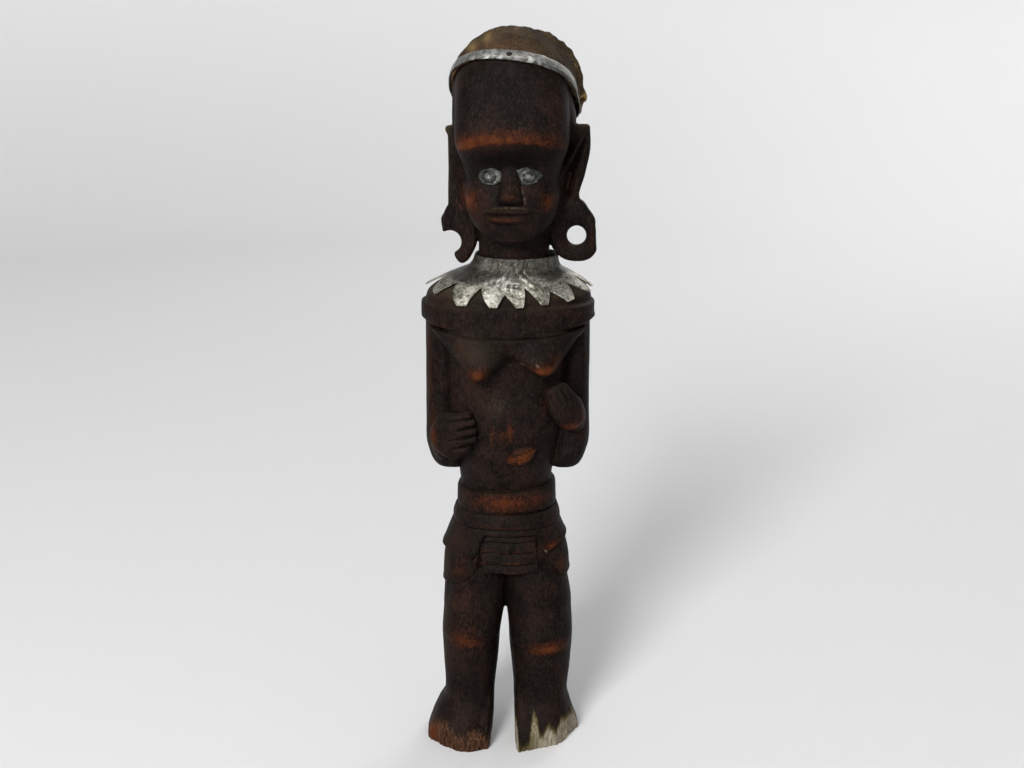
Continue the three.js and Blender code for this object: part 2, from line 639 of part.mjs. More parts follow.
function finish(color, roughness, metalness) {
  return new THREE.MeshStandardMaterial({ color, roughness, metalness });
}

const wood = finish(0x2b201c, 0.55, 0);
const hide = finish(0x4a3e31, 0.85, 0);
const aluminium = finish(0x8c8a84, 0.45, 1);
const iron = finish(0x2a2622, 0.7, 0.8);

function piece(name, geometry, material) {
  const mesh = new THREE.Mesh(geometry, material);
  mesh.name = name;
  return mesh;
}

const group = new THREE.Group();
group.add(
  piece('figure', figure(), wood),
  piece('hide_cap', hideCap(), hide),
  piece('headband', onHead(bandRing(0)), aluminium),
  piece('headband_nail', nail(), iron),
  piece('collar', collar(), aluminium),
  piece('right_eye_plate', onHead(eyePlate(-1, 0)), aluminium),
  piece('left_eye_plate', onHead(eyePlate(1, 0)), aluminium),
);

export default group;
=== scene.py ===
"""A carved wood female figure with a sheet-metal collar, metal eyes and a hide cap under a nailed band."""
import math
import bpy
import numpy as np
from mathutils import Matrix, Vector


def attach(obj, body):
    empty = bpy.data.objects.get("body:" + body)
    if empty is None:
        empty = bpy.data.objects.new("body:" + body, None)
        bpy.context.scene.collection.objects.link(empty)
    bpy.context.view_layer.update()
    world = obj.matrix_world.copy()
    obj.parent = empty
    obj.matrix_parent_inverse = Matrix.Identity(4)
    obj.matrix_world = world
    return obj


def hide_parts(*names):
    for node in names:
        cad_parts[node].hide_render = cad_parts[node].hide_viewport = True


bl_info = {
    "name": "Carved Figure",
    "version": (1, 0, 0),
    "blender": (4, 5, 0),
    "location": "3D View > Sidebar > Figure",
    "description": "Builds a worn carved wood figure with metal and hide trim, and the studio round it",
    "category": "Add Mesh",
}

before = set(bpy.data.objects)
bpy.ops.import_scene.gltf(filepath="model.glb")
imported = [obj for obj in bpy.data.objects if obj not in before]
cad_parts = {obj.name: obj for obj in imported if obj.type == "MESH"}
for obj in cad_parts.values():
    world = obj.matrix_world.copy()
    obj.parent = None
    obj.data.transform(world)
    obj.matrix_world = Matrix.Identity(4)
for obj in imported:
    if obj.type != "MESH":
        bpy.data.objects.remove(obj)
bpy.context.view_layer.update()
MM = 0.001
DEG = math.pi / 180


def sections(square, *rows):
    """A table of sections: height, centre x, centre y, half width, depth to the front and to the back, then the
    squareness of the front and of the back (2 is an ellipse) where a row has its own and not the table's."""
    return [row + square[len(row) - 6:] for row in rows]


CRANIUM = sections(
    (2, 2),
    (246, 0.5, 3, 13.5, 12, 10), (256, 0.5, 5, 19, 14, 17, 2.1, 2.1), (268, 0.4, 7, 24.5, 15, 23, 2.2, 2.1),
    (284, 0.2, 7, 27.6, 16, 26, 2.3, 2.1), (299, 0, 6, 28, 20, 28, 2.5, 2.1),
    (309, -0.4, 4, 26.8, 27, 29, 2.9, 2.1), (318, -0.6, 3, 25.4, 28.8, 28, 2.9, 2.1),
    (325, -0.6, 3, 22.8, 28.2, 25.2, 2.6, 2.1), (331, -0.4, 3, 18.4, 24.6, 20.4, 2.3),
    (335.2, 0, 3, 13, 18.4, 14.2, 2.1), (337.4, 0, 3, 8, 11.6, 9), (338.4, 0, 3, 3, 4.6, 3.4),
)
FACE = sections(
    (2.5, 2.2),
    (246.4, 0, -17, 4.5, 4.8, 4, 2, 2), (247.8, 0, -15, 9.4, 9.2, 8, 2.1, 2), (251.4, 0, -12, 14.6, 14, 12, 2.3),
    (256, 0, -9, 18.6, 18.4, 14, 2.4), (262, 0, -8, 20.8, 19.8, 15), (267, 0, -8, 21.3, 19.8, 16, 2.6),
    (274, 0, -8, 20.5, 18.2, 16, 2.8), (281, 0, -8, 22, 18.4, 16, 3), (287.5, 0, -8, 24.4, 20.8, 16, 3.2),
    (293, 0, -8, 25, 22.8, 16, 3.3), (299, 0, -8, 25.2, 22.4, 16, 3.3), (308, -0.2, -8, 25, 21, 16, 3.2),
    (317, -0.4, -8, 24.2, 18.8, 16, 3), (323, -0.5, -8, 21.6, 17.4, 14, 2.8), (326, -0.5, -8, 17.5, 14.6, 12),
)
NOSE = sections(
    (2, 2),
    (263.4, 0.2, -25.5, 4.6, 2.6, 3, 2.2), (265, 0.2, -25.5, 5.4, 4.6, 3, 2.2),
    (267.2, 0.1, -25.5, 5.8, 7.4, 3, 2.3), (268.2, 0.1, -25.5, 5.6, 7.9, 3, 2.3), (272, 0, -25, 4.8, 6.4, 3, 2.1),
    (277, 0, -24.5, 4.8, 3.4, 3), (281.5, 0, -23.5, 5.2, 2.6, 3), (284, 0, -22.5, 5.2, 1, 3),
)
WHOLE_EAR = sections(
    (4, 4),
    (258, 21.5, 0.75, 8, 3.7, 3.7), (262, 21.8, 0.75, 8.4, 3.75, 3.75), (266.5, 22.2, 0.75, 7.6, 3.75, 3.75),
    (276, 24.2, 0.75, 8.2, 3.75, 3.75), (289.6, 26.2, 0.75, 8.3, 3.75, 3.75), (295.6, 26, 0.75, 8.2, 3.75, 3.75),
    (296.9, 26, 0.75, 7.8, 3.4, 3.4), (297.2, 26, 0.75, 7.2, 2.9, 2.9),
)
BROKEN_EAR = sections(
    (4, 4),
    (256, -22.6, 0.75, 8.2, 3.7, 3.7), (261.5, -22.8, 0.75, 6.8, 3.7, 3.7), (268, -23.2, 0.75, 6.3, 3.75, 3.75),
    (280, -23.4, 0.75, 6.1, 3.75, 3.75), (292, -23.7, 0.75, 5.9, 3.75, 3.75),
    (294.4, -24.6, 0.75, 6.1, 3.75, 3.75), (296.1, -24.6, 0.75, 6, 3.3, 3.3), (296.4, -24.6, 0.75, 5.4, 2.8, 2.8),
)
SHOULDERS = sections(
    (2, 2),
    (206, 0.2, 0, 36, 22.5, 22.5, 2.3, 2.2), (213, 0.2, 0, 38, 24.2, 24, 2.3, 2.2),
    (218, 0.3, 0, 38.2, 23.9, 23.8, 2.2, 2.2), (221, 0.5, 0, 37.6, 22.8, 22.8, 2.2, 2.2),
    (224, 0.8, 0, 35.4, 21.2, 21.4, 2.1, 2.1), (227, 1.4, 0, 30.8, 19.4, 19.8), (230, 2.2, 0.5, 23.6, 17.6, 18),
    (232.6, 2.8, 1, 17.8, 15.6, 16), (236, 2.9, 1, 16, 14.6, 15.2), (244, 3, 1, 16, 14.6, 15),
    (258, 3.4, 0, 16.4, 12, 15),
)
SHOULDER_BAND = sections(
    (2.3, 2.2),
    (205.8, 0.2, 0, 38.6, 24.6, 24.6), (206.3, 0.2, 0, 39.7, 25.7, 25.5), (207.2, 0.2, 0, 40, 26, 25.8),
    (216.6, 0.2, 0, 40, 26, 25.8), (217.6, 0.2, 0, 39.5, 25.5, 25.3), (217.9, 0.2, 0, 38.6, 24.6, 24.5),
)
TRUNK = sections(
    (2.3, 2.3),
    (108, -0.9, 0, 21, 18, 17), (128, -0.9, 0, 21.2, 18.4, 17), (138, -0.9, 0, 22.2, 20.6, 17.5),
    (148, -0.9, 0, 24.6, 22.4, 18.2), (158, -0.9, 0, 26.6, 22.4, 19), (170, -0.8, 0, 28, 21.2, 20, 2.4, 2.4),
    (184, -0.5, 0, 29, 20.4, 21, 2.4, 2.4), (196, 0, 0, 30.5, 20.8, 22, 2.4, 2.4),
    (210, 0.2, 0, 34.5, 22.5, 22.5, 2.4),
)
RIGHT_BREAST = sections(
    (1.9, 2),
    (185, -14.4, -22, 1.4, 7, 8, 2), (186.6, -13.2, -22, 4.2, 9.2, 6, 2), (190, -12.4, -20, 8, 12.2, 6),
    (194, -11.2, -18, 12.8, 13.2, 6), (199, -12.8, -15, 15.8, 13.6, 8), (206.8, -16, -12, 18.8, 13, 8, 2.1),
)
LEFT_BREAST = sections(
    (1.9, 2),
    (187.2, 17.2, -22, 1.6, 6.8, 8, 2), (188.6, 16.2, -22, 4.6, 9, 6, 2), (191.8, 15, -20, 8.4, 12, 6),
    (194.6, 13.8, -18, 11.4, 13, 6), (199, 13.6, -15, 15.2, 13.4, 8), (206.8, 16.6, -12, 18.8, 13, 8, 2.1),
)
CHEST = sections(
    (2, 2),
    (193.6, 2.4, -14, 1.6, 6, 6), (196.4, 2.2, -14, 7, 10.4, 8), (200, 1.6, -14, 12, 12.4, 8),
    (204, 0.8, -13, 18, 13.2, 8), (206.8, 0.8, -12, 23, 13.6, 8),
)
UPPER_ARM = sections(
    (2.5, 2.2),
    (138.4, -25.6, 0, 5, 7.5, 7, 2.4), (139.4, -26.2, 0, 6.8, 10.8, 9.6), (141.4, -27, 0, 7.8, 12.8, 11),
    (146, -28.4, 0, 8.4, 14, 12), (151, -29.8, 1, 8.3, 14, 12.5, 2.6), (162, -30.6, 1, 7.6, 12.4, 12.5, 2.7),
    (184, -30.8, 1, 7.3, 12.4, 12.6, 2.7, 2.3), (209, -30.4, 1, 7.6, 14, 14),
)
BELT = sections(
    (2.3, 2.3),
    (119.8, -0.6, 0, 22.4, 20.3, 19.2), (120.2, -0.6, 0, 23.3, 21.2, 20), (121, -0.6, 0, 23.6, 21.5, 20.3),
    (128.6, -0.6, 0, 23.4, 21.3, 20.1), (129.8, -0.6, 0, 23, 20.9, 19.7), (130.3, -0.6, 0, 22.2, 20, 18.9),
)
LOWER_BELT = sections(
    (2.3, 2.3),
    (112.2, -0.6, 0, 24.4, 21.9, 20.8), (112.6, -0.6, 0, 25.3, 22.8, 21.7), (113.6, -0.6, 0, 25.5, 23, 21.9),
    (119.4, -0.6, 0, 24, 21.6, 20.4),
)
HIPS = sections(
    (2.4, 2.2),
    (77, -1.2, 0, 3, 3, 7, 2, 2), (81, -1, 0, 8, 5, 13, 2.2), (87, -0.8, 0, 14, 9, 18), (90, -0.6, 0, 24, 14, 20),
    (94, -0.6, 0, 28, 18.8, 21.5), (104, -0.6, 0, 26.2, 19.4, 21, 2.3), (116, -0.6, 0, 22.6, 19.6, 19, 2.3, 2.3),
)
LOWER_SKIRT = sections(
    (2.5, 2.2),
    (75, -0.6, 0, 29.3, 18.8, 21), (77, -0.6, 0, 29.9, 19.4, 21.6), (80, -0.6, 0, 30.4, 20, 22.2),
    (92, -0.6, 0, 30, 20.6, 23.2, 2.4), (108, -0.6, 0, 26.4, 20.4, 21.6, 2.3),
)
UPPER_SKIRT = sections(
    (2.4, 2.2),
    (92, -0.6, 0, 30.6, 22, 24.2), (98, -0.6, 0, 30.6, 22.6, 24.4), (104, -0.6, 0, 28.8, 22.6, 23.6, 2.3),
    (113.4, -0.6, 0, 25, 21.9, 21.2, 2.3),
)
RIGHT_LEG = sections(
    (2.4, 2.2),
    (0, -24.1, -1, 15.6, 25.6, 17.5, 2.7, 2.3), (2.5, -23.6, -1, 15.9, 25.4, 18, 2.7, 2.3),
    (8, -22.4, -1, 15.3, 24, 17.5, 2.6, 2.3), (15, -20.8, -1, 14, 20.2, 15.5, 2.5),
    (23, -18.6, -1, 12.2, 16.2, 14.2, 2.6), (38, -18.2, 0, 13.2, 15.6, 17.2, 2.6),
    (50, -18, 0, 14, 17.2, 16.6, 2.3), (66, -16.3, 0, 14.7, 17, 18.4), (71, -15.7, 0, 15.2, 17, 18.8, 2.5),
    (84, -15, 0, 14.8, 17.2, 19.4), (100, -13, 0, 12, 13, 15),
)
LEFT_LEG = sections(
    (2.4, 2.2),
    (0, 19.4, -1, 15.8, 25, 17.5, 2.6, 2.3), (3.5, 19.2, -1, 15.5, 24.6, 18, 2.6, 2.3),
    (9, 18, -1, 14.8, 23.4, 17.5, 2.5, 2.3), (15, 17, -1, 13.9, 20, 15.5, 2.5),
    (23, 15.9, -1, 13.2, 16.2, 14.2, 2.6), (38, 16.1, 0, 14.4, 15.6, 17.2, 2.6),
    (50, 16, 0, 15.4, 17.2, 16.6, 2.3), (66, 15, 0, 15.7, 17, 18.4), (71, 14.4, 0, 16.2, 17, 18.8, 2.5),
    (84, 13.4, 0, 15.2, 17.2, 19.4), (100, 12, 0, 12, 13, 15),
)
RIGHT_TOE = sections(
    (5, 2),
    (0, -15.4, -1, 6.9, 26.4, 8), (4, -15.2, -1, 6.9, 25.8, 8), (9, -14.6, -1, 6.8, 22.6, 8, 4.5),
    (15, -13.6, -1, 6.6, 18.2, 8, 4), (24, -12.8, -1, 6.2, 13.6, 8, 3.5), (36, -12.4, 0, 6.2, 12.4, 8, 3),
)
LEFT_TOE = sections(
    (6, 2),
    (0, 10.6, -1, 6.9, 27, 8), (4, 10.4, -1, 6.8, 26.2, 8), (9, 10, -1, 6.6, 22.8, 8, 5),
    (15, 9.6, -1, 6.4, 18.4, 8, 4), (24, 9.2, -1, 6.2, 13.8, 8, 3.5), (36, 9, 0, 6.2, 12.4, 8, 3),
)
COLLAR_FORM = sections(
    (2, 2),
    (217, 0.3, 0, 39.9, 25.3, 25.1, 2.2, 2.2), (221, 0.5, 0, 38.7, 24, 24, 2.2, 2.2),
    (224.4, 0.8, 0, 36.4, 22.2, 22.4, 2.1, 2.1), (227.6, 1.4, 0, 31.6, 20.4, 20.8),
    (230.8, 2.4, 0.5, 24.8, 18.8, 19.2), (233.4, 3.3, 1, 19.6, 17.4, 17.8), (238.6, 4, 1, 17.5, 16.7, 17.1),
)

# How the head stands over the neck
HEAD_SHIFT = np.array([2.7, 0.0, 0.0])
HEAD_TURN = -3 * DEG
HEAD_AXES = np.array([
    [math.cos(HEAD_TURN), -math.sin(HEAD_TURN), 0], [math.sin(HEAD_TURN), math.cos(HEAD_TURN), 0], [0, 0, 1],
])
# Heights, depths and a radius in millimetres
CROWN = CRANIUM[-1][0]
EYE_HEIGHT = 276.8
NECK_EDGE = 238.7
EAR_FRONT, EAR_BACK = -3.0, 4.5
WAVE_CIRCLE = 30
# Where the collar's ends meet, in degrees from the front, and how far the nail leans back
COLLAR_START = 118
NAIL_LEAN = 29 * DEG
# The carving's skin: the size of its squares in millimetres, rounds of softening on the chest, and its limit
SKIN_STEP = 0.47
CHEST_ROUNDS = 20
MOST_TRIANGLES = 190000
# The studio, in metres
CAMERA_PLACE = (0.002, -0.6438, 0.3494)
CAMERA_TILT = 75 * DEG
LIGHT_AIM = Vector((0, 0, 0.15))


# ---- numpy shapes, all in millimetres ----

def row_at(table, height):
    """Every column at many heights: cubic pieces whose slopes are the harmonic mean of their neighbours, so they
    never overshoot the rows."""
    rows = np.asarray(table, float)
    level = np.clip(height, rows[0, 0], rows[-1, 0])
    rise = np.diff(rows, axis=0) / np.diff(rows[:, 0])[:, None]
    before, after = rise[:-1], rise[1:]
    slope = np.zeros_like(rows)
    product = before * after
    total = np.where(product > 0, before + after, 1)
    slope[1:-1] = np.where(product > 0, 2 * product / total, 0)
    slope[0], slope[-1] = rise[0], rise[-1]
    i = np.clip(np.searchsorted(rows[:, 0], level, side="right") - 1, 0, len(rows) - 2)
    step = rows[i + 1, 0] - rows[i, 0]
    t = ((level - rows[i, 0]) / step)[..., None]
    step = step[..., None]
    ends = rows[i] * (1 + 2 * t) * (1 - t) ** 2 + rows[i + 1] * t * t * (3 - 2 * t)
    return ends + slope[i] * step * t * (1 - t) ** 2 - slope[i + 1] * step * t * t * (1 - t)


def full_turn(count):
    """Equal steps round a circle, in radians."""
    return np.linspace(0, 2 * math.pi, count, endpoint=False)


def bent(value, power):
    """A power that keeps the sign."""
    return np.sign(value) * np.abs(value) ** power


def outline(rows, angle, grow=0.0):
    """Superellipse: x = cx + (w + grow) sgn(cos a)|cos a|^(2/p), y likewise with the front or back depth."""
    across, along = np.cos(angle), np.sin(angle)
    front = along < 0
    power = 2 / np.where(front, rows[..., 6], rows[..., 7])
    depth = np.where(front, rows[..., 4], rows[..., 5])
    x = rows[..., 1] + (rows[..., 3] + grow) * bent(across, power)
    return x, rows[..., 2] + (depth + grow) * bent(along, power)


def grid_faces(rows, columns, wrap_rows=False, wrap_columns=True):
    """Quads that join each point of a grid to the next along both of its sides."""
    r = np.arange(rows if wrap_rows else rows - 1)
    c = np.arange(columns if wrap_columns else columns - 1)
    r, c = np.meshgrid(r, c, indexing="ij")
    r1, c1 = (r + 1) % rows, (c + 1) % columns
    corners = (r * columns + c, r * columns + c1, r1 * columns + c1, r1 * columns + c)
    return np.stack([k.ravel() for k in corners], axis=1)


def closed_tube(points):
    """A grid of closed rings, shut at both ends by rings of no width at the ends' middles."""
    first = np.repeat(points[:1].mean(1, keepdims=True), points.shape[1], 1)
    last = np.repeat(points[-1:].mean(1, keepdims=True), points.shape[1], 1)
    points = np.concatenate([first, points, last])
    return points.reshape(-1, 3), grid_faces(points.shape[0], points.shape[1])


def loft(table, relief=None, sides=240, step=0.7):
    """A solid whose section at each height is the table's superellipse; relief(x, y, z) grows it outwards."""
    low, high = table[0][0], table[-1][0]
    height = np.linspace(low, high, max(int((high - low) / step), 8))[:, None]
    angle = full_turn(sides)[None, :]
    rows = row_at(table, height)
    x, y = outline(rows, angle)
    if relief is not None:
        x, y = outline(rows, angle, relief(x, y, height + 0 * x))
    return closed_tube(np.stack([x, y, height + 0 * x], -1))


def smooth_line(points, count):
    """A curve through points: the same monotone cubic in each coordinate, against the point's number."""
    points = np.asarray(points, float)
    table = np.column_stack([np.arange(len(points)), points])
    return row_at(table, np.linspace(0, len(points) - 1, count))[:, 1:]


def limb(stations, up=(0, 0, 1), blunt=0.55, sides=72, rings=70):
    """A rounded limb: ellipses across a smooth path through stations (x, y, z, half width, half height),
    scaled by (1 - t^2)^(blunt / 2) from end to end."""
    at = smooth_line(stations, 200)
    t = np.sin(np.linspace(-math.pi / 2, math.pi / 2, rings)[1:-1])
    pick = (t + 1) / 2 * 199
    at = np.stack([np.interp(pick, np.arange(200), at[:, k]) for k in range(5)], 1)
    ahead = np.gradient(at[:, :3], axis=0)
    ahead /= np.linalg.norm(ahead, axis=1, keepdims=True)
    side = np.cross(np.asarray(up, float)[None], ahead)
    side /= np.linalg.norm(side, axis=1, keepdims=True)
    rise = np.cross(ahead, side)
    size = (1 - t * t) ** (blunt / 2)
    angle = full_turn(sides)[None, :, None]
    wide, high = (at[:, k, None, None] * size[:, None, None] for k in (3, 4))
    points = at[:, None, :3] + side[:, None] * np.cos(angle) * wide + rise[:, None] * np.sin(angle) * high
    return closed_tube(points)


def ring_slab(middle, inner, reach, countersink=0.0, count=260, sides=40):
    """A flat ring or part of one, upright in x and z. At each turn round its middle it goes from inner out to the
    radius interpolated from reach, pairs of turn and radius; its section is a squarish superellipse."""
    first, last = reach[0][0], reach[-1][0]
    whole = last - first >= 360
    turn = np.linspace(first, last, count, endpoint=not whole)
    far = row_at(reach, turn)[:, 1][:, None]
    turn = turn[:, None] * DEG
    angle = full_turn(sides)[None, :]
    across, deep = bent(np.cos(angle), 0.5), bent(np.sin(angle), 0.5)
    near = inner + countersink * np.maximum(0, -deep) ** 2 * (across < 0)
    radius = (near + far) / 2 + (far - near) / 2 * across
    y = (EAR_FRONT + EAR_BACK) / 2 + (EAR_BACK - EAR_FRONT) / 2 * deep + 0 * turn
    points = np.stack([middle[0] + radius * np.cos(turn), y, middle[1] + radius * np.sin(turn)], -1)
    if whole:
        return points.reshape(-1, 3), grid_faces(count, sides, wrap_rows=True)
    return closed_tube(points)


def turned(form):
    """The head's own frame, turned a little about the upright and set over the neck."""
    points, faces = form
    return points @ HEAD_AXES.T + HEAD_SHIFT, faces


def head_place(points):
    """The same turn undone, so that carving on the head is worked out in the head's own frame."""
    return (points - HEAD_SHIFT) @ HEAD_AXES


def bell(value, width):
    """exp(-(value / width)^2)."""
    return np.exp(-((value / width) ** 2))


def ramp(value, low, high):
    """0 up to low, 1 from high on and 3t^2 - 2t^3 between; it falls where low is the greater."""
    t = np.clip((value - low) / (high - low), 0, 1)
    return t * t * (3 - 2 * t)


def spot(x, z, cx, cz, rx, rz, tilt=0.0):
    """A soft ellipse: exp(-d^2), with d measured in the tilted ellipse's own radii."""
    c, s = math.cos(tilt * DEG), math.sin(tilt * DEG)
    u, v = (x - cx) * c + (z - cz) * s, (z - cz) * c - (x - cx) * s
    return np.exp(-((u / rx) ** 2) - (v / rz) ** 2)


def waves(points, size, seed, octaves=3):
    """Smooth unevenness between about -1 and 1: sines of random directions, halved at each octave."""
    rng = np.random.default_rng(seed)
    total, weight = 0.0, 0.0
    for octave in range(octaves):
        for _ in range(5):
            way = rng.normal(size=3)
            way *= 2 * math.pi * 2 ** octave / (size * np.linalg.norm(way)) * rng.uniform(0.7, 1.4)
            total = total + np.sin(points @ way + rng.uniform(0, 6.283)) / 2 ** octave
        weight += 2.2 / 2 ** octave
    return total / weight


def line_distance(x, z, ax, az, bx, bz):
    """Distance to a straight stroke, and how far along it the nearest point lies."""
    ex, ez = bx - ax, bz - az
    t = np.clip(((x - ax) * ex + (z - az) * ez) / (ex * ex + ez * ez), 0, 1)
    return np.hypot(x - ax - t * ex, z - az - t * ez), t


def stroke(x, z, ax, az, bx, bz, width):
    """1 on a straight stroke, falling off beside it as a bell."""
    return bell(line_distance(x, z, ax, az, bx, bz)[0], width)


def distance_to_outline(x, z, corners):
    """Signed distance to a polygon, negative inside, by the nearest of its edges and the crossing rule."""
    best, inside = np.inf, np.zeros(x.shape, bool)
    for (ax, az), (bx, bz) in zip(corners, corners[1:] + corners[:1]):
        best = np.minimum(best, line_distance(x, z, ax, az, bx, bz)[0])
        if az != bz:
            inside ^= ((az > z) != (bz > z)) & (x < (bx - ax) * (z - az) / (bz - az) + ax)
    return np.where(inside, -best, best)


# ---- the forms of the carving ----

def face_relief(x, y, z):
    """Shallow sockets for the eyes, a low swell round the mouth and the edge of the brow."""
    front = ramp(-y, 10, 16)
    sockets = spot(x, z, -8.8, 277, 7.6, 4.4) + spot(x, z, 8.8, 277, 7.6, 4.4)
    mouth = spot(x, z, 0, 259.6, 15, 5.5)
    brow = ramp(z, 287.6, 290.4) * ramp(z, 299, 292)
    return front * (-0.9 * sockets + 0.5 * mouth + 0.35 * brow)


def lip(middle, height, thick, reach, drop):
    """A lip: a bowed limb across the mouth, thinner to its ends."""
    return limb([
        (middle + reach * t, -28.2 + 2.0 * t * t, height + drop * t * t, 2.2, thick * (1 - 0.4 * t * t))
        for t in (-1, -0.6, 0, 0.6, 1)
    ], blunt=0.6)


# Turns round the ears' holes in degrees, with the outer radius there
LOBE = (
    (-90, 11.6), (-60, 12), (-40, 11.4), (-20, 9.4), (0, 8.7), (25, 9.4), (42, 11.2), (62, 12.8), (90, 17),
    (120, 16), (150, 14), (180, 12.4), (225, 12.1), (270, 11.6),
)
HOOK = (
    (-69, 7.8), (-64, 10.4), (-56, 11.4), (-46, 11.4), (-30, 11.2), (0, 12.1), (30, 14), (60, 16), (90, 17),
    (103, 13), (110, 11.6), (116, 8.4), (121, 6.6),
)


def head_forms():
    """The skull, the face with its nose and lips, and both ears with the whole lobe and the broken one."""
    return [turned(form) for form in (
        loft(CRANIUM, sides=180, step=1.2),
        loft(FACE, face_relief, sides=320, step=0.5),
        loft(NOSE, sides=120, step=0.4),
        lip(-0.5, 262.0, 1.8, 10.4, -0.5),
        lip(-1.3, 258.3, 2.1, 9.8, 0.7),
        loft(WHOLE_EAR, sides=120),
        loft(BROKEN_EAR, sides=120),
        ring_slab((28.7, 247.2), 4.4, LOBE, countersink=1.3),
        ring_slab((-28.9, 244.0), 5.3, HOOK),
    )]


def mirrored(table):
    """The same sections on the other side of the figure."""
    return [(row[0], -row[1], *row[2:]) for row in table]


def lifted(form, rise):
    """A form whose points go up by rise(x, y, z)."""
    points, faces = form
    up = rise(*points.T)
    return points + np.stack([0 * up, 0 * up, up], -1), faces


def belt_rise(x, y, z):
    """The belt climbs to the figure's left, more above its middle."""
    return np.where(z > 125, 0.045, 0.0135) * x


def band_rise(x, y, z):
    """The shoulder band's lower edge climbs towards the arms."""
    return ramp(z, 214, 206.5) * (5.4 * np.clip(np.abs(x) / 39, 0, 1) ** 2 - 1.4) * ramp(-y, -12, 6)


# The edges of the apron's strips from the top down, and the flaps of the skirt as outlines in x and z
APRON_EDGES = (109.9, 105.4, 100.0, 94.0, 89.3)
UPPER_FLAPS = (
    (-40, 118), (40, 118), (40, 108.6), (30, 105.4), (25, 102.6), (20.4, 100.4), (17.8, 100.6), (13.3, 108.9),
    (-10.7, 108.9), (-13.9, 100.6), (-16.4, 97), (-17.6, 96.4), (-19.2, 96.6), (-23.3, 97.5), (-30, 98.6),
    (-40, 100),
)
RIGHT_FLAP = (
    (-12, 114), (-13, 99), (-14.5, 94.4), (-16.1, 89.6), (-19.2, 85.5), (-24.5, 83), (-27.8, 81.8),
    (-30.5, 80.6), (-40, 80), (-40, 114),
)
LEFT_FLAP = (
    (40, 114), (40, 87), (31, 87), (29.6, 86), (27.4, 85.2), (24.6, 87), (20.6, 93.2), (17.2, 99.6),
    (12.4, 114),
)


def apron_relief(x, y, z):
    """Four strips, each proud of the one above at its lower edge: a sawtooth over height."""
    shown = np.full(x.shape, -3.0)
    edge_wave = 0.22 * np.sin(x * 0.35 + 0.8)
    for number, bottom in enumerate(APRON_EDGES[1:]):
        top = APRON_EDGES[number]
        level = z + edge_wave * (1 + 0.3 * number)
        inside = ramp(level, bottom - 0.22, bottom + 0.22) * ramp(-level, -top, -top + 0.6)
        part = np.clip((level - bottom) / (top - bottom), 0, 1)
        shown = np.maximum(shown, np.where(inside > 0, -3 + inside * (4.6 - 1.6 * part), -3.0))
    middle = 0.2 + 1.5 * ramp(z, 108, 90)
    half = 12.9 + 0.9 * ramp(z, 108, 90)
    side = np.abs(x - middle) - half
    return np.where(y < 0, shown - 4 * ramp(side, -0.25, 0.25), -3.0)


# The hands and forearms: stations of limbs, each x, y, z, half width and half height
FOREARMS = (
    ((-31, 4, 151, 5.5, 10), (-30.5, -8, 152, 5.6, 9.6), (-30, -18.5, 155, 5, 8.6)),
    ((31, 4, 156, 5.5, 9), (31, -7, 162, 5.4, 7.6), (29.5, -15, 169, 5.4, 6.6), (25, -18, 177, 4.6, 5.6)),
    ((-34.6, -16.5, 155.5, 5, 7.5), (-28, -20.6, 157.6, 4.6, 11.3), (-22, -22, 159, 3.8, 10.7),
     (-16.6, -22.2, 160.2, 3.2, 9.4)),
)
LEFT_HAND = (
    (29.6, -18, 160.6, 4.6, 3.6), (28.3, -20.6, 166, 7.2, 4.2), (25.8, -22.4, 172.2, 7.5, 4),
    (22.8, -22.6, 177.6, 6.8, 3.4), (20.8, -21.6, 180.6, 5.6, 2.2),
)
LEFT_FINGERS = ((25.4, -22.2, 173, 7, 3.6), (22.9, -22.6, 178, 6.4, 3.2), (20.9, -22.2, 182, 5.6, 2.8))
NAVEL = ((-1, -22.2, 145.6, 1.6, 2), (6.2, -23.2, 149, 2.9, 4.4), (13.2, -21.2, 152.6, 1.6, 2))
# Heights of each finger of the right hand at its root and its tip, and how far it reaches
RIGHT_FINGERS = (
    (165.6, 169, -16.4), (162, 165.5, -14.6), (158.4, 161.2, -14.2), (154.8, 157.2, -14.1),
    (151.6, 152.9, -17.2),
)


def finger(low, high, reach):
    """One finger of the right hand, laid over the palm."""
    root, middle = (-28.5, -22.2, low, 2.3, 2.2), (-22, -23.1, (low + high) / 2, 2.7, 2.4)
    return limb([root, middle, (reach, -22.9, high, 2.6, 2.2)], blunt=0.35, sides=40, rings=44)


def cloth(shape, hem, sunk):
    """Relief of a skirt's layer: sunk outside shape(x, z) in front and under the hem's line behind, with a low
    welt along its edge."""
    hem_x, hem_z = np.transpose(hem)

    def relief(x, y, z):
        wavy = 0.35 * np.sin(x * 0.55 + 1.3) * np.sin(x * 0.21)
        out = np.where(y < 0, shape(x, z + wavy * 0.6), np.interp(x, hem_x, hem_z) - z + wavy)
        deeper = 10 * ramp(out, 1, 5) * ramp(z, 92, 84) * (y < 0)
        return 0.3 * bell(out + 1.1, 0.9) - sunk * ramp(out, -0.28, 0.28) - deeper
    return relief


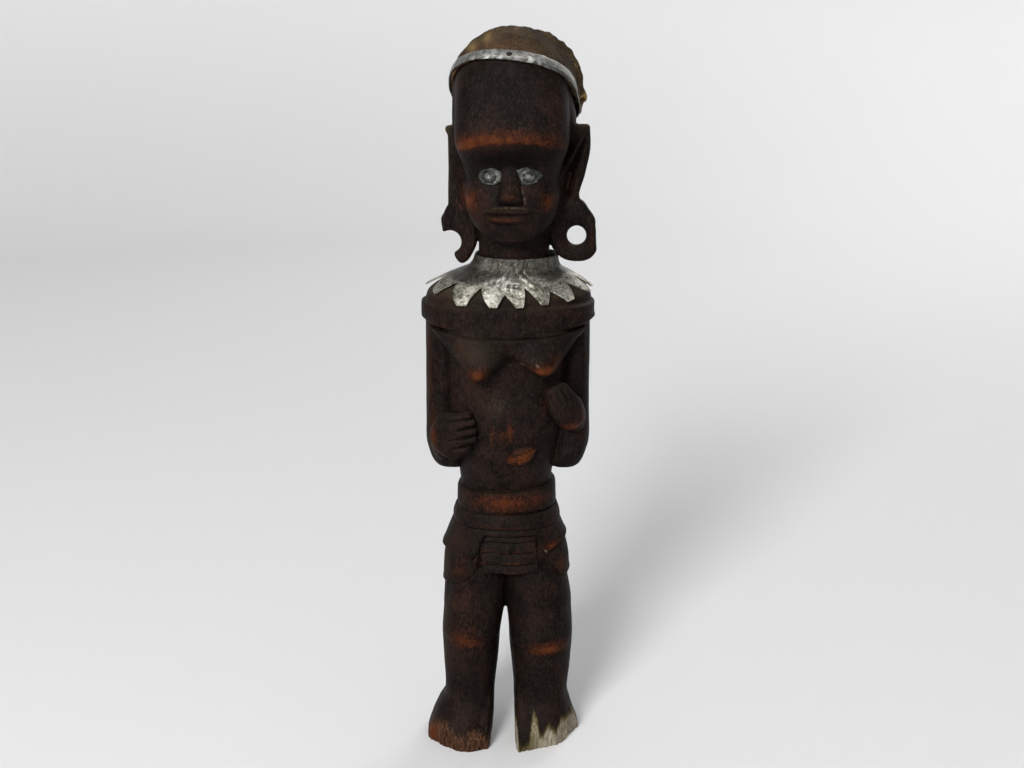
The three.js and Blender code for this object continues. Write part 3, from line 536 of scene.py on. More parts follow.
def body_forms():
    """Everything under the head that is carved in the same piece."""
    def upper_shape(x, z):
        return distance_to_outline(x, z, UPPER_FLAPS)

    def lower_shape(x, z):
        return np.minimum(distance_to_outline(x, z, RIGHT_FLAP), distance_to_outline(x, z, LEFT_FLAP))

    upper = cloth(upper_shape, ((-31, 98.8), (-12, 97), (12, 98), (31, 104.6)), 5.0)
    lower = cloth(lower_shape, ((-31, 80.6), (0, 83), (31, 86.6)), 4.0)
    under_apron = [*sections((2.4, 2.2), (88.7, -0.8, 0, 24, 19, 19), (94, -0.6, 0, 26, 19, 20)), *HIPS[-2:]]
    return [
        loft(SHOULDERS, sides=220, step=0.8),
        lifted(loft(SHOULDER_BAND, band_relief, sides=260, step=0.4), band_rise),
        loft(TRUNK, trunk_relief, sides=220, step=1.2),
        *(loft(table, sides=140, step=0.5) for table in (RIGHT_BREAST, LEFT_BREAST, CHEST)),
        *(loft(table, sides=110, step=1.0) for table in (UPPER_ARM, mirrored(UPPER_ARM))),
        *(limb(stations) for stations in FOREARMS),
        *(finger(*place) for place in RIGHT_FINGERS),
        limb(LEFT_HAND, up=(0, -1, 0)),
        limb(LEFT_FINGERS, up=(0, -1, 0), blunt=0.22),
        limb(NAVEL, blunt=0.8),
        lifted(loft(BELT, step=0.35), belt_rise),
        loft(LOWER_BELT, step=0.35),
        loft(HIPS, sides=200, step=1.0),
        loft(under_apron, apron_relief, sides=420, step=0.25),
        loft(UPPER_SKIRT, upper, sides=420, step=0.3),
        loft(LOWER_SKIRT, lower, sides=420, step=0.3),
        *(loft(table, sides=120, step=0.6) for table in (RIGHT_TOE, LEFT_TOE)),
        loft(RIGHT_LEG, leg_relief(-1), sides=160, step=0.8),
        loft(LEFT_LEG, leg_relief(1), sides=160, step=0.8),
    ]


def band_relief(x, y, z):
    """The band's face waves a little, as knife work leaves it."""
    return 0.18 * np.sin(x * 0.33 + 0.7) * np.sin(z * 0.5 + x * 0.12) + 0.1 * np.sin(x * 0.9)


def trunk_relief(x, y, z):
    """A shallow line down the back."""
    return -0.9 * bell(x + 0.6, 3.2) * ramp(z, 128, 146) * (y > 0)


def leg_relief(side):
    """A low soft step under each knee, curved with the shin."""
    def relief(x, y, z):
        level = (53.4 if side < 0 else 49.8) - 1.6 * np.cos((x - 18 * side) * 0.17)
        return 0.45 * ramp(z, level - 1.6, level + 1.4) * ramp(z, 66, 54) * ramp(-y, 2, 9)
    return relief


# ---- carving on the joined surface ----

def crown_dip(x, y, z):
    """Where the crown falls away at the figure's left."""
    return np.exp(-((x - 15) ** 2 + (y + 1) ** 2) / 60) * ramp(z, 324, 332)


# Strokes of the knife: ax, az, bx, bz, width, depth and least facing to the front
HAND_CUTS = (
    (-27.4, 165.2, -14.2, 167.4, 0.45, 1, 0), (-23.6, 161.4, -12.6, 163.6, 0.45, 1.2, 0),
    (-27.6, 156.4, -12.4, 159.3, 0.45, 1.2, 0), (-24.4, 153, -12.8, 155.2, 0.45, 1.3, 0),
    (21.6, 179.4, 25, 173.8, 0.42, 0.8, 0.1), (24.6, 180.8, 27.6, 175.6, 0.42, 0.8, 0.1),
    (19, 177.6, 21.8, 172.6, 0.42, 0.8, 0.1),
)
APRON_SIDES = ((-12.4, 108.6, -13.8, 89.4, 0.4, 0.7, 0.1), (13.2, 108.6, 15.2, 89.4, 0.4, 0.7, 0.1))
TOE_CUTS = ((-18.4, 10.6, -13.2, 11.8, 0.4, 0.6, 0.1), (-13.8, 11.8, -9.6, 8.2, 0.4, 0.6, 0.1))
NAVEL_SLIT = ((0.6, 148.2, 12.4, 151.9, 0.38, 1.2, 0.1),)
# The hollows of the ears as outlines in x and z
EAR_LEAF = (
    (33.2, 294.2), (32.9, 288.8), (30.8, 282.5), (28.6, 276.1), (27.6, 269.7), (27, 264.2), (24.4, 262.8),
    (21.4, 264.6), (20.8, 269.7), (22.8, 276.1), (26.2, 282.5), (29.6, 288.8),
)
OTHER_HOLLOW = (
    (-24.4, 281.1), (-27.1, 277.6), (-28, 274.4), (-26.9, 270.9), (-24.1, 267.3), (-19, 266.9), (-18.5, 279.5),
    (-22, 282.5),
)
# Where each foot's front is split off: x, y and turn of the plane, its lean and its width
SPLITS = (
    (-35, -16.4, -47, 4, 14), (-25.7, -24.4, -34, 6, 13), (-14.6, -25.2, 20, 6, 15), (14.2, -23.4, 21, 4, 23),
    (26, -16.6, 52, 4, 9.5), (32, -5.6, 54, 5, 13),
)


def cuts(points, normals, strokes):
    """V-shaped strokes in the front: a bell over the distance, shallower to both ends."""
    total = 0.0
    for ax, az, bx, bz, width, depth, facing in strokes:
        away, along = line_distance(points[:, 0], points[:, 2], ax, az, bx, bz)
        fade = np.sin(np.clip(along, 0.02, 0.98) * math.pi) ** 0.35
        total = total + depth * bell(away, width) * fade * ramp(-normals[:, 1], facing - 0.2, facing + 0.2)
    return total


def ear_hollows(points, normals):
    """The hollows and the rib of the ears, and the crown's dip, worked out in the head's own frame."""
    x, y, z = head_place(points).T
    ahead = ramp(-normals[:, 1], 0.1, 0.7) * ramp(y, -6.5, -5) * (y < 3)
    whole = ahead * (x > 18)
    depth = 3.4 * ramp(-distance_to_outline(x, z, EAR_LEAF), -0.4, 3.0) * whole
    depth -= 1.6 * stroke(x, z, 25.6, 275.6, 24.2, 269.0, 0.7) * whole
    slope = (x - 20.6) * 0.857 - (z - 272.0) * 0.515
    depth += 2.4 * ramp(-slope, 0.4, 5.0) * ramp(-slope, -14, -9) * whole * ramp(z, 294, 286) * (z > 268)
    depth += 0.45 * bell(slope - 0.6, 0.4) * whole * (z > 272)
    depth += 1.2 * ramp(-distance_to_outline(x, z, OTHER_HOLLOW), -0.6, 4.0) * ahead * (x < -18)
    depth += 2.2 * crown_dip(x, y, z)
    return depth + 0.6 * stroke(x, z, -9.6, 260.0, 8.0, 260.5, 0.36) * (y < -22)


def carve(points, normals):
    """Moves the points of the joined surface along their normals and off flat splits."""
    x, y, z = points.T
    depth = ear_hollows(points, normals)
    for front, strokes in (
        (ramp(-y, 20, 21.6), HAND_CUTS), (y < -12, APRON_SIDES), (1, TOE_CUTS), (ramp(-y, 21.4, 22.4), NAVEL_SLIT),
    ):
        depth += front * cuts(points, normals, strokes)
    # The line between the figure's left hand and the belly
    depth += 0.45 * stroke(x, z, 15.8, 177.4, 20.2, 165.6, 0.6) * ramp(-y, 15, 18)
    # Under each strip of the apron
    for number, bottom in enumerate(APRON_EDGES[1:4]):
        level = z - bottom + 0.35 + 0.22 * (1 + 0.3 * number) * np.sin(x * 0.35 + 0.8)
        depth += 0.55 * bell(level, 0.35) * ramp(np.abs(x - 0.8), 13, 12.2) * (y < -12)
    # Under and over the belts, and under the shoulder band
    for level, tilt, deep in ((119.5, 0.0135, 0.75), (111.9, 0.0, 0.6), (130.6, 0.045, 0.4)):
        depth += deep * bell(z - level - tilt * x, 0.4)
    depth += bell(z - 203.9 - 5.4 * np.clip(np.abs(x) / 39, 0, 1) ** 2, 0.5) * ramp(-y, 12, 16)
    # The cut beside each flap of the skirt
    front = ramp(-normals[:, 1], 0.1, 0.5) * (y < -4) * (z > 75)
    right, left = (z < 97) & (x < 0), (z < 100) & (x > 0)
    for corners, room in ((UPPER_FLAPS, z < 109), (RIGHT_FLAP, right), (LEFT_FLAP, left)):
        depth += 0.55 * bell(distance_to_outline(x, z, corners) - 0.45, 0.45) * room * front
    # The small hole under the navel, and the scratch beside the nose
    depth += 1.2 * np.exp(-(x ** 2 + (z - 138.6) ** 2) / 0.5) * (y < -12)
    depth += 0.3 * stroke(x, z, 6.0, 272.8, 8.0, 263.8, 0.35) * (y < -18)
    # Knife and scraper marks, slow swells and fine upright gouging
    swell = waves(points, 26, 3, 2) * 0.16 + waves(points * (1, 1, 0.35), 7, 5, 2) * 0.07
    gouge = waves(points * (1, 1, 0.09), 1.9, 11, 2)
    swell += gouge * (0.03 + 0.07 * ramp(z, 26, 6) * ramp(-y, 4, 14))
    moved = points - normals * (depth + swell)[:, None]
    moved[:, 2] = np.where(z < 0.6, np.maximum(z, 0) * 0.3, moved[:, 2])
    return chipped(moved)


def chipped(points):
    """Split wood: what stands beyond a sloping plane at a foot's front is set back to the plane, roughly."""
    for x, y, turn, lean, width in SPLITS:
        c, s = math.cos(turn * DEG), math.sin(turn * DEG)
        across = (points[:, 0] - x) * c + (points[:, 1] - y) * s
        ahead = (points[:, 1] - y) * c - (points[:, 0] - x) * s
        beyond = -(ahead + points[:, 2] * math.tan(lean * DEG))
        grain = 0.5 * waves(points * (1.0, 1.0, 0.12), 3.0, int(abs(x)), 3)
        near = ramp(-np.abs(across), -width / 2 - 1.5, -width / 2) * (points[:, 2] < 26)
        push = np.clip(beyond - grain, 0, 12) * near
        points[:, 0] -= push * s
        points[:, 1] += push * c
    return points


# ---- meshes ----

def new_mesh(name, points, faces, scale=MM):
    """A smooth mesh from whole arrays of points and of faces with equal numbers of corners."""
    mesh = bpy.data.meshes.new(name)
    count, corners = faces.shape
    mesh.vertices.add(len(points))
    mesh.vertices.foreach_set("co", (np.asarray(points) * scale).astype(np.float32).ravel())
    mesh.loops.add(count * corners)
    mesh.loops.foreach_set("vertex_index", faces.astype(np.int32).ravel())
    mesh.polygons.add(count)
    mesh.polygons.foreach_set("loop_start", (np.arange(count) * corners).astype(np.int32))
    mesh.polygons.foreach_set("use_smooth", np.ones(count, bool))
    mesh.update(calc_edges=True)
    mesh.validate()
    return mesh


def placed(name, data):
    """A new object in the scene."""
    thing = bpy.data.objects.new(name, data)
    bpy.context.scene.collection.objects.link(thing)
    return thing


def mark(mesh, **rules):
    """Float attributes worked out from each point's place in millimetres."""
    places = point_rows(mesh) / MM
    for name, rule in rules.items():
        keep(mesh, name, rule(*places.T))


def show(name, mesh, material, slot, *nodes):
    """Puts a finished mesh in the scene in place of its solids."""
    piece = placed(name, mesh)
    mesh.materials.append(material)
    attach(piece, "root")
    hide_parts(*nodes)
    return piece


def joined(forms):
    """Several forms as one list of points and one of faces."""
    points, faces = zip(*forms)
    starts = np.cumsum([0] + [len(each) for each in points[:-1]])
    return np.concatenate(points), np.concatenate([each + start for each, start in zip(faces, starts)])


def point_rows(mesh, what="co"):
    """Every point's place, or its direction where what is "normal"."""
    flat = np.empty(len(mesh.vertices) * 3, np.float32)
    mesh.vertices.foreach_get(what, flat)
    return flat.reshape(-1, 3).astype(float)


def set_positions(mesh, points):
    """Puts the points in new places."""
    mesh.vertices.foreach_set("co", points.astype(np.float32).ravel())
    mesh.update()


def relaxed(points, mesh, shares):
    """Points moved to the mean of their neighbours by a share of the way, once for each of the shares."""
    flat = np.empty(len(mesh.edges) * 2, np.int32)
    mesh.edges.foreach_get("vertices", flat)
    one, other = flat.reshape(-1, 2).T
    size = len(points)
    counts = np.maximum(np.bincount(flat, minlength=size), 1.0)
    points = points.copy()
    for share in shares:
        total = [np.bincount(one, k[other], size) + np.bincount(other, k[one], size) for k in points.T]
        points += share * (np.stack(total, -1) / counts[:, None] - points)
    return points


def with_modifier(mesh, kind, **settings):
    """The mesh after one modifier, as a mesh of its own."""
    holder = placed("holder", mesh)
    modifier = holder.modifiers.new(kind.title(), kind)
    for key, value in settings.items():
        setattr(modifier, key, value)
    graph = bpy.context.evaluated_depsgraph_get()
    made = bpy.data.meshes.new_from_object(holder.evaluated_get(graph), depsgraph=graph)
    bpy.data.objects.remove(holder)
    bpy.data.meshes.remove(mesh)
    return made


def keep(mesh, name, values):
    """Stores one number for each point under a name that a finish can read."""
    layer = mesh.attributes.new(name, "FLOAT", "POINT")
    layer.data.foreach_set("value", values.astype(np.float32))


# ---- where the carving is worn, and where shade and highlights are painted on it ----

# Patches where handling has rubbed the stain to the red-brown wood, and patches of painted shade, all on the
# front: x, z, half width, half height, strength and, where it is tilted, the tilt in degrees
RUBBED = (
    (-17.6, 265.2, 4.4, 5.8, 1.15, -12), (17.8, 265.6, 4.4, 4.8, 0.95), (1.2, 271.5, 3.2, 4.8, 0.36),
    (0.9, 268.2, 3.6, 1.2, 0.5), (-2, 258.3, 7.4, 1.5, 0.78), (-1.7, 261.9, 5, 1, 0.4),
    (-10.5, 268.5, 4.5, 4, 0.22), (-11, 257, 4, 4, 0.25), (-13.6, 188.8, 5.2, 4.4, 1.1, 10),
    (16.2, 190.8, 7, 3.2, 1.2), (22.6, 195.8, 3.8, 3.6, 0.5, -40), (-22, 197.5, 3.4, 6, 0.3, -30),
    (-1.6, 158.9, 5.8, 3.4, 0.6), (1.2, 162.5, 1.5, 5.2, 0.62), (-7.4, 159.5, 1.6, 4, 0.5),
    (-4.4, 153, 5, 3, 0.35), (-34.2, 157, 2.2, 7.4, 0.85), (-30.4, 149.2, 3.6, 1.8, 0.55, -30),
    (29, 162.6, 6.6, 2.6, 1, 8), (34.2, 168.5, 1.6, 4.5, 0.55), (17.2, 171, 1.8, 6, 0.5, 18),
    # The patch at -36, 184 down the figure's right arm is partly rubbed wood and partly painted light on the lit arm
    (-36, 184, 3.4, 26, 0.4), (-25.8, 209, 7.5, 1.6, 0.42), (31, 213, 6, 3.2, 0.25), (-1.2, 124.6, 9, 5, 0.42),
    (0.5, 125.2, 24, 5, 0.62), (-11.5, 126.4, 6, 2.6, 0.2), (15.2, 127.4, 6.4, 2.6, 0.25),
    (-0.7, 113.4, 16, 0.8, 0.55), (-19.5, 97.2, 6.5, 1.7, 0.5, -14), (20.8, 102.6, 5.4, 2.2, 0.95, 10),
    (17.8, 107, 1.2, 4.6, 0.35, 22), (-23, 89.5, 6.4, 5, 0.5), (25.6, 91.5, 3.6, 5.4, 0.6, 10),
    (-20.8, 74.5, 8.5, 11, 0.34), (20.6, 79, 5, 7.4, 0.34), (-20, 52.8, 9.4, 4.4, 0.85, -6),
    (-21, 60, 9, 6, 0.3), (19, 49.4, 11, 4.2, 1.1, 4), (38.3, 245.5, 1.6, 4.5, 0.6), (-31, 98, 2, 8, 0.3),
    (19.5, 40, 6, 8, 0.12),
)


# Painted shade: under the brow and the nose, beside the figure's left ear, in the clefts beside both arms, over the
# shaded left arm, on the belly between the hands, under the breasts, above the belt, under the end of the right arm,
# under the apron, and between and down the legs
PAINTED_SHADE_SPOTS = (
    (0.5, 283.8, 19, 5.2, 1.7), (0.9, 265.4, 5.4, 1.3, 1.6), (30.2, 278, 4.6, 12, 0.5),
    (26.4, 190, 2.6, 12, 1.2, 6), (32.5, 188, 6.5, 24, 0.9), (3, 163, 20, 20, 0.3), (-27.5, 184, 1.6, 12, 0.6),
    (20, 184.6, 7, 2.2, 0.7), (-7.4, 186.8, 5.6, 3.4, 0.5, 30), (7.6, 187.6, 3.4, 3, 0.6),
    (0.8, 74, 7.6, 18, 0.9), (-6.5, 44, 6, 34, 0.7), (8, 50, 5.6, 34, 0.6), (-18, 30, 13, 13, 0.65),
    (20, 28, 12, 13, 0.55), (1, 135, 18, 2.4, 0.5), (-30, 137, 6, 4, 0.6), (1, 86.8, 13, 1.6, 0.8),
)


def soft_spots(table, x, z):
    """The sum of a table's soft ellipses."""
    return sum(strength * spot(x, z, cx, cz, rx, rz, *tilt) for cx, cz, rx, rz, strength, *tilt in table)


def painted_shade_share(points):
    """How much painted shade lies on the front."""
    x, y, z = points.T
    return soft_spots(PAINTED_SHADE_SPOTS, x, z) * (y < -6)


def rubbed_share(points, normals):
    """The rubbed patches, plus the brow ridge, the navel's leaf and the hems of the apron's strips."""
    x, y, z = points.T
    total = soft_spots(RUBBED, x, z)
    knees = np.where(x < 0, ramp(z, 48.0, 51.0), ramp(z, 44.6, 47.4))
    total = np.where((z > 36) & (z < 64), total * knees, total)
    low = np.interp(x, (-24, -17, -9, 1, 11, 19, 26), (286.6, 288.0, 290.2, 291.0, 290.6, 288.8, 287.2))
    strong = np.interp(x, (-24, -20, -13, -6, 3, 9, 18, 25), (0.9, 1.35, 1.15, 1.1, 1.1, 0.85, 0.8, 0.5))
    strong *= 0.95 + 0.2 * waves(points, 4, 94, 2)
    total += strong * ramp(z - low, -1.0, 1.2) * ramp(low - z, -10.5, -2.0) * ramp(-y, 12, 17)
    along, above = (x - 6.2) * 0.906 + (z - 149) * 0.423, (z - 149) * 0.906 - (x - 6.2) * 0.423
    leaf = ramp(-np.hypot(along / 7.0, above / 3.9), -1.08, -0.9) * (1 - 0.45 * ramp(above, 0.4, 2.4))
    total += (0.95 + 0.6 * waves(points, 1.7, 91, 2)) * leaf * (y < -15)
    for bottom, strength in zip(APRON_EDGES[1:], (0.4, 0.75, 0.7, 0.55)):
        total += strength * bell(z - bottom - 0.45, 0.5) * ramp(np.abs(x - 0.6), 13.8, 12.8) * (y < -10)
    return total * ramp(-normals[:, 1], -0.15, 0.35)


def dust_and_sheen_share(points, normals):
    """Dust lies on the shoulders, the ears' tops and other level places, and a little on one ear; a little painted
    sheen lies on one breast.
    """
    x, y, z = points.T
    ear = 0.55 * ramp(-x, 25, 28) * ramp(z, 262, 272) * (z < 298) * ramp(-y, -4, 2)
    # Painted sheen on the figure's right breast
    chest = 0.16 * spot(x, z, -14, 199.5, 9, 7) * (y < -12)
    shoulders = ramp(z, 216, 222) * ramp(z, 240, 232)
    level = ramp(normals[:, 2], 0.25, 0.95) * (0.1 + 0.55 * shoulders + 0.4 * (z > 285) * (z < 300))
    return ear + chest + level * (z > 60)


# How high the stain has gone from each foot: x and height, from the viewer's left to right
BROWN_LINE = (
    (-39, 9), (-34, 12), (-30, 13), (-27, 11), (-24, 9), (-21, 7.5), (-19, 9), (-16.5, 10), (-13, 10),
    (-10, 7), (-8.5, 5),
)
PALE_LINE = (
    (3, 14), (4.6, 12), (5.4, 2.6), (8, 3.4), (10.2, 4), (11, 10), (12.4, 18.6), (14.4, 14), (15.6, 7.6),
    (17, 7.4), (19.5, 11.4), (21.5, 9.8), (23.5, 8.4), (25.5, 13), (28, 13.5), (34, 12), (37, 11),
)


def bare_share(points):
    """How far the stain has gone from the feet, by each foot's own ragged line: the right one shows brown wood
    with one orange corner, the left one is bleached."""
    x, y, z = points.T
    streak = waves(points * (1, 1, 0.04), 2.6, 21, 3) * 1.1
    line = np.interp(x, *np.transpose(BROWN_LINE))
    brown = ramp(line + streak - z, -5.0, 6.0) * (x < -1) * ramp(-y, 4, 12)
    line = np.interp(x, *np.transpose(PALE_LINE))
    bleach = ramp(line + streak * 0.6 - z, -3.2, 4.6) * (x > 0) * ramp(-y, -6, 6)
    bleach *= np.interp(x, (5.2, 5.6, 9, 12, 14.5, 17), (1, 0.62, 0.62, 0.72, 0.8, 1))
    corner = spot(x, z, -37.5, 6, 3.2, 7) * (y < -6)
    return {"brown": np.clip(brown, 0, 1), "bleach": np.clip(bleach, 0, 1.2), "corner": corner}


def scratches_and_highlights(points):
    """Pale scratches beside the nose, a painted highlight along the upper lip's edge, wrinkles on the belly, and
    four pale specks, one of them a painted highlight on the figure's left breast.
    """
    x, y, z = points.T
    broken = ramp(waves(points, 1.8, 92, 2), -0.5, 0.4)
    total = 0.65 * stroke(x, z, 6.0, 272.6, 7.6, 265.2, 0.28) * (y < -18) * broken
    # Painted highlight along the upper lip's top edge
    bow = z - 263.6 + 0.011 * (x - 1.0) ** 2
    total += 0.42 * bell(bow, 0.3) * ramp(np.abs(x - 1.2), 8.4, 5) * (y < -26) * broken
    wrinkle = ramp(np.sin(z * 3.3 + np.sin(x * 0.8) * 1.2), 0.1, 0.9)
    total += 0.16 * spot(x, z, -4.4, 172.4, 4.6, 4.6) * wrinkle * (y < -15)
    # The speck at 13.2, 193.4 is a painted highlight on the figure's left breast
    for cx, cz, size in ((6.6, 192.5, 0.8), (17.9, 100.3, 0.7), (13.2, 193.4, 0.4), (27.3, 120.5, 0.4)):
        total += spot(x, z, cx, cz, size, size) * (y < -12)
    return total


def carved_mesh():
    """All the forms of the figure joined, laid over with an even skin, carved, thinned and marked for wear and for
    painted shade, sheen and highlights.
    """
    mesh = new_mesh("rough", *joined(head_forms() + body_forms()), 1.0)
    mesh = with_modifier(mesh, "REMESH", mode="VOXEL", voxel_size=SKIN_STEP, adaptivity=0.0, use_smooth_shade=True)
    points = relaxed(point_rows(mesh), mesh, (0.5, -0.52, 0.5, -0.52))
    x, y, z = points.T
    chest = 0.7 * ramp(z, 184, 188) * ramp(z, 205.6, 203) * ramp(-y, 18, 22) * ramp(np.abs(x), 26, 20)
    points = relaxed(points, mesh, [chest[:, None]] * CHEST_ROUNDS)
    set_positions(mesh, points)
    points = carve(points, point_rows(mesh, "normal"))
    set_positions(mesh, points)
    normals = point_rows(mesh, "normal")
    near = relaxed(points, mesh, [0.6] * 6)
    wide = relaxed(near, mesh, [0.6] * 18)
    edge, bulge = (((points - soft) * normals).sum(1) / SKIN_STEP for soft in (near, wide))
    wear_and_painted_light = {
        "scratch_and_highlight": scratches_and_highlights(points), "edge": edge, "bulge": bulge - painted_shade_share(points),
        "rubbed": rubbed_share(points, normals), "dust_and_sheen": dust_and_sheen_share(points, normals), **bare_share(points),
    }
    for name, values in wear_and_painted_light.items():
        keep(mesh, name, values)
    triangles = 2 * len(mesh.polygons)
    if triangles > MOST_TRIANGLES:
        mesh = with_modifier(mesh, "DECIMATE", ratio=MOST_TRIANGLES / triangles, use_collapse_triangulate=True)
    set_positions(mesh, point_rows(mesh) * MM)
    mesh.polygons.foreach_set("use_smooth", np.ones(len(mesh.polygons), bool))
    return mesh


# ---- sheet metal, nail and hide ----

BAND_PLANE = (314.3, -0.12, -0.54)
HEM_PLANE = (311.7, -0.12, -0.545)


def rim_point(angle, plane, grow, lift):
    """Where the grown cranium meets a sloping plane, found by a few rounds of substitution."""
    height = np.full(np.shape(angle), plane[0], float)
    x = y = np.zeros(np.shape(angle))
    for _ in range(14):
        x, y = outline(row_at(CRANIUM, height), angle, grow)
        height = plane[0] + plane[1] * x + plane[2] * y + lift
    return x, y, height


def strip(place, around, across, thick, edge=0.16):
    """A closed band of sheet: out along its outer face, back along its inner, with softened edges.
    place(turn, v, depth) gives points for v from -1 to 1 and depth outwards from the inner face."""
    v = np.linspace(-1, 1, across)
    inset = edge * (np.abs(v) > 0.999)
    v = np.concatenate([v, [1, 1], v[::-1], [-1, -1]])
    depth = np.concatenate([thick - inset, [thick * 0.65, thick * 0.35], inset, [thick * 0.35, thick * 0.65]])
    points = place(*np.broadcast_arrays(full_turn(around)[:, None], v, depth))
    return points.reshape(-1, 3), grid_faces(*points.shape[:2], wrap_rows=True)


def headband_form(thick, width):
    """A ribbon of even width in the sloping plane, a little wavy, dented and crowned."""
    def place(turn, v, depth):
        level, rolled = (WAVE_CIRCLE * np.stack([np.cos(turn), np.sin(turn), k * v], -1) for k in (0, 0.08))
        half = width / 2 * (1 + 0.06 * waves(level, 9, 32, 2))
        grow = 1.75 + depth + 0.16 * (1 - v * v) + 0.1 * waves(rolled, 5.5, 33, 2)
        return np.stack(rim_point(turn, BAND_PLANE, grow, half * v + 0.12 * waves(level, 22, 31, 2)), -1)
    return turned(strip(place, 360, 15, thick))


# Turns from the front in degrees, with heights: the notches between the teeth, and the corners of their tips
COLLAR_EDGE = (
    (-118, 229), (-108, 222.6), (-99, 223.8), (-83, 229), (-63.8, 223.6), (-56.2, 222.4), (-48, 228),
    (-32.5, 218.7), (-25.5, 218.8), (-21.5, 226.7), (-10.2, 218.5), (-5.8, 218.4), (-2.2, 224.1), (3.5, 218.5),
    (7.8, 218.5), (10.8, 226.7), (19, 219.4), (23.8, 219.5), (28.2, 225), (39.5, 220.2), (46, 221), (50, 228),
    (62.5, 223.4), (68.5, 223), (73.8, 229.2), (86, 223.8), (93, 223.2), (98, 228.8), (108, 223), (114, 222.4),
    (120, 228.2), (129, 221), (135, 220.6), (141, 227.4), (150, 219.6), (156, 219.2), (161, 226.4),
    (170, 218.9), (176, 218.9), (181, 226), (190, 218.9), (196, 219.3), (201, 226.8), (210, 220.4),
    (216, 220.8), (222, 227.6), (231, 222.2), (236, 222), (242, 229),
)


def collar_form(thick):
    """Sheet bent over the shoulders' form from its cut teeth to the neck; each tooth dips or curls."""
    edge_turn, edge_height = np.transpose(COLLAR_EDGE)
    levels = np.linspace(217, NECK_EDGE, 120)
    rows = row_at(COLLAR_FORM, levels)
    slant = np.concatenate([[0], np.cumsum(np.hypot(np.diff(levels), np.diff(rows[:, 3] + rows[:, 4]) / 2))])
    edge_slant = np.interp(edge_height, levels, slant)

    def place(turn, v, depth):
        degrees = turn / DEG - COLLAR_START
        low = np.interp(np.interp(degrees, edge_turn, edge_slant), slant, levels)
        height = low + (NECK_EDGE - low) * (v + 1) / 2
        at = np.stack([np.cos(turn) * 26, np.sin(turn) * 26, height], -1)
        grow = 0.45 + 0.25 * waves(at, 9, 41, 2) + 0.06 * waves(at, 3.4, 42, 2)
        # Crumpled at the front, with a slit and the seam's lifted edge
        grow += 0.8 * spot(degrees, height, 0, 229, 15, 5) * waves(at, 3.2, 43, 2)
        grow += 1.3 * spot(degrees, height, 3.4, 228.7, 9, 0.8, -4)
        grow -= 1.5 * spot(degrees, height, 5, 227.3, 7.4, 0.5, -3)
        grow += 0.35 * ramp(degrees, 4.2, 5.2) * ramp(-degrees, -14, -7) * ramp(height, 229, 233)
        grow += ramp(height, 225.5, 219.5) * (0.35 + 0.5 * np.sin(degrees * 0.11 + 1.0))
        grow += 1.7 * spot(degrees, height, -104, 221.5, 9, 4.5) + 0.8 * spot(degrees, height, 65, 222, 8, 3)
        grow += 0.35 * ramp(height, 236.8, 238.6)
        x, y = outline(row_at(COLLAR_FORM, height), turn - (COLLAR_START + 90) * DEG, depth + np.maximum(0.12, grow))
        return np.stack([x, y, height + 0.4 * depth], -1)
    return strip(place, 900, 46, thick)


def eye_form(side):
    """A plate on a squared disc: (u, v) of a square bent to a circle by the elliptical rule, then to the plate's
    own outline; its middle is domed outwards and it follows the face."""
    n = 64
    u, v = np.meshgrid(np.linspace(-1, 1, n), np.linspace(-1, 1, n), indexing="ij")
    a, b = u * np.sqrt(1 - v * v / 2), v * np.sqrt(1 - u * u / 2)
    turn, reach = np.arctan2(b, a), np.hypot(a, b)
    wide, high, shift = (5.3, 3.6, -8.8) if side < 0 else (5.8, 3.7, 7.6)
    ragged = 1 + 0.05 * np.sin(3 * turn + 1 + side) + 0.035 * np.sin(7 * turn + 2 * side) + 0.02 * np.sin(13 * turn)
    x = shift + wide * a * ragged
    z = EYE_HEIGHT + high * b * ragged * (1 - 0.1 * side * a) + 0.5 * side * a * a
    rows = row_at(FACE, np.full(x.shape, EYE_HEIGHT))
    fall = 1 - np.minimum(np.abs(x) / rows[..., 3], 0.999) ** rows[..., 6]
    surface = rows[..., 2] - rows[..., 4] * fall ** (1 / rows[..., 6])
    from_ball = np.hypot(x - shift - 0.5 * side, (z - EYE_HEIGHT + 0.1) * 1.15)
    ball = ramp(-from_ball, -3.3, -0.6) - 0.25 * bell(from_ball - 3.4, 0.5)
    dome = 1.5 * ball + 0.2 * (1 - reach ** 4) + 0.09 * waves(np.stack([x, z, 0 * x], -1), 2.2, 51 + side, 3)
    front = np.where(reach > 0.995, surface - 0.05, surface - 0.35 - dome * (1 - reach ** 10))
    points = np.concatenate([np.stack([x, y, z], -1).reshape(-1, 3) for y in (front, surface + 0.55)])
    face = grid_faces(n, n, wrap_columns=False)
    index = np.arange(n * n).reshape(n, n)
    loop = np.concatenate([index[:-1, 0], index[-1, :-1], index[:0:-1, -1], index[0, :0:-1]])
    after = np.roll(loop, -1)
    wall = np.stack([loop, after, after + n * n, loop + n * n], 1)
    return turned((points, np.concatenate([face[:, ::-1], face + n * n, wall])))


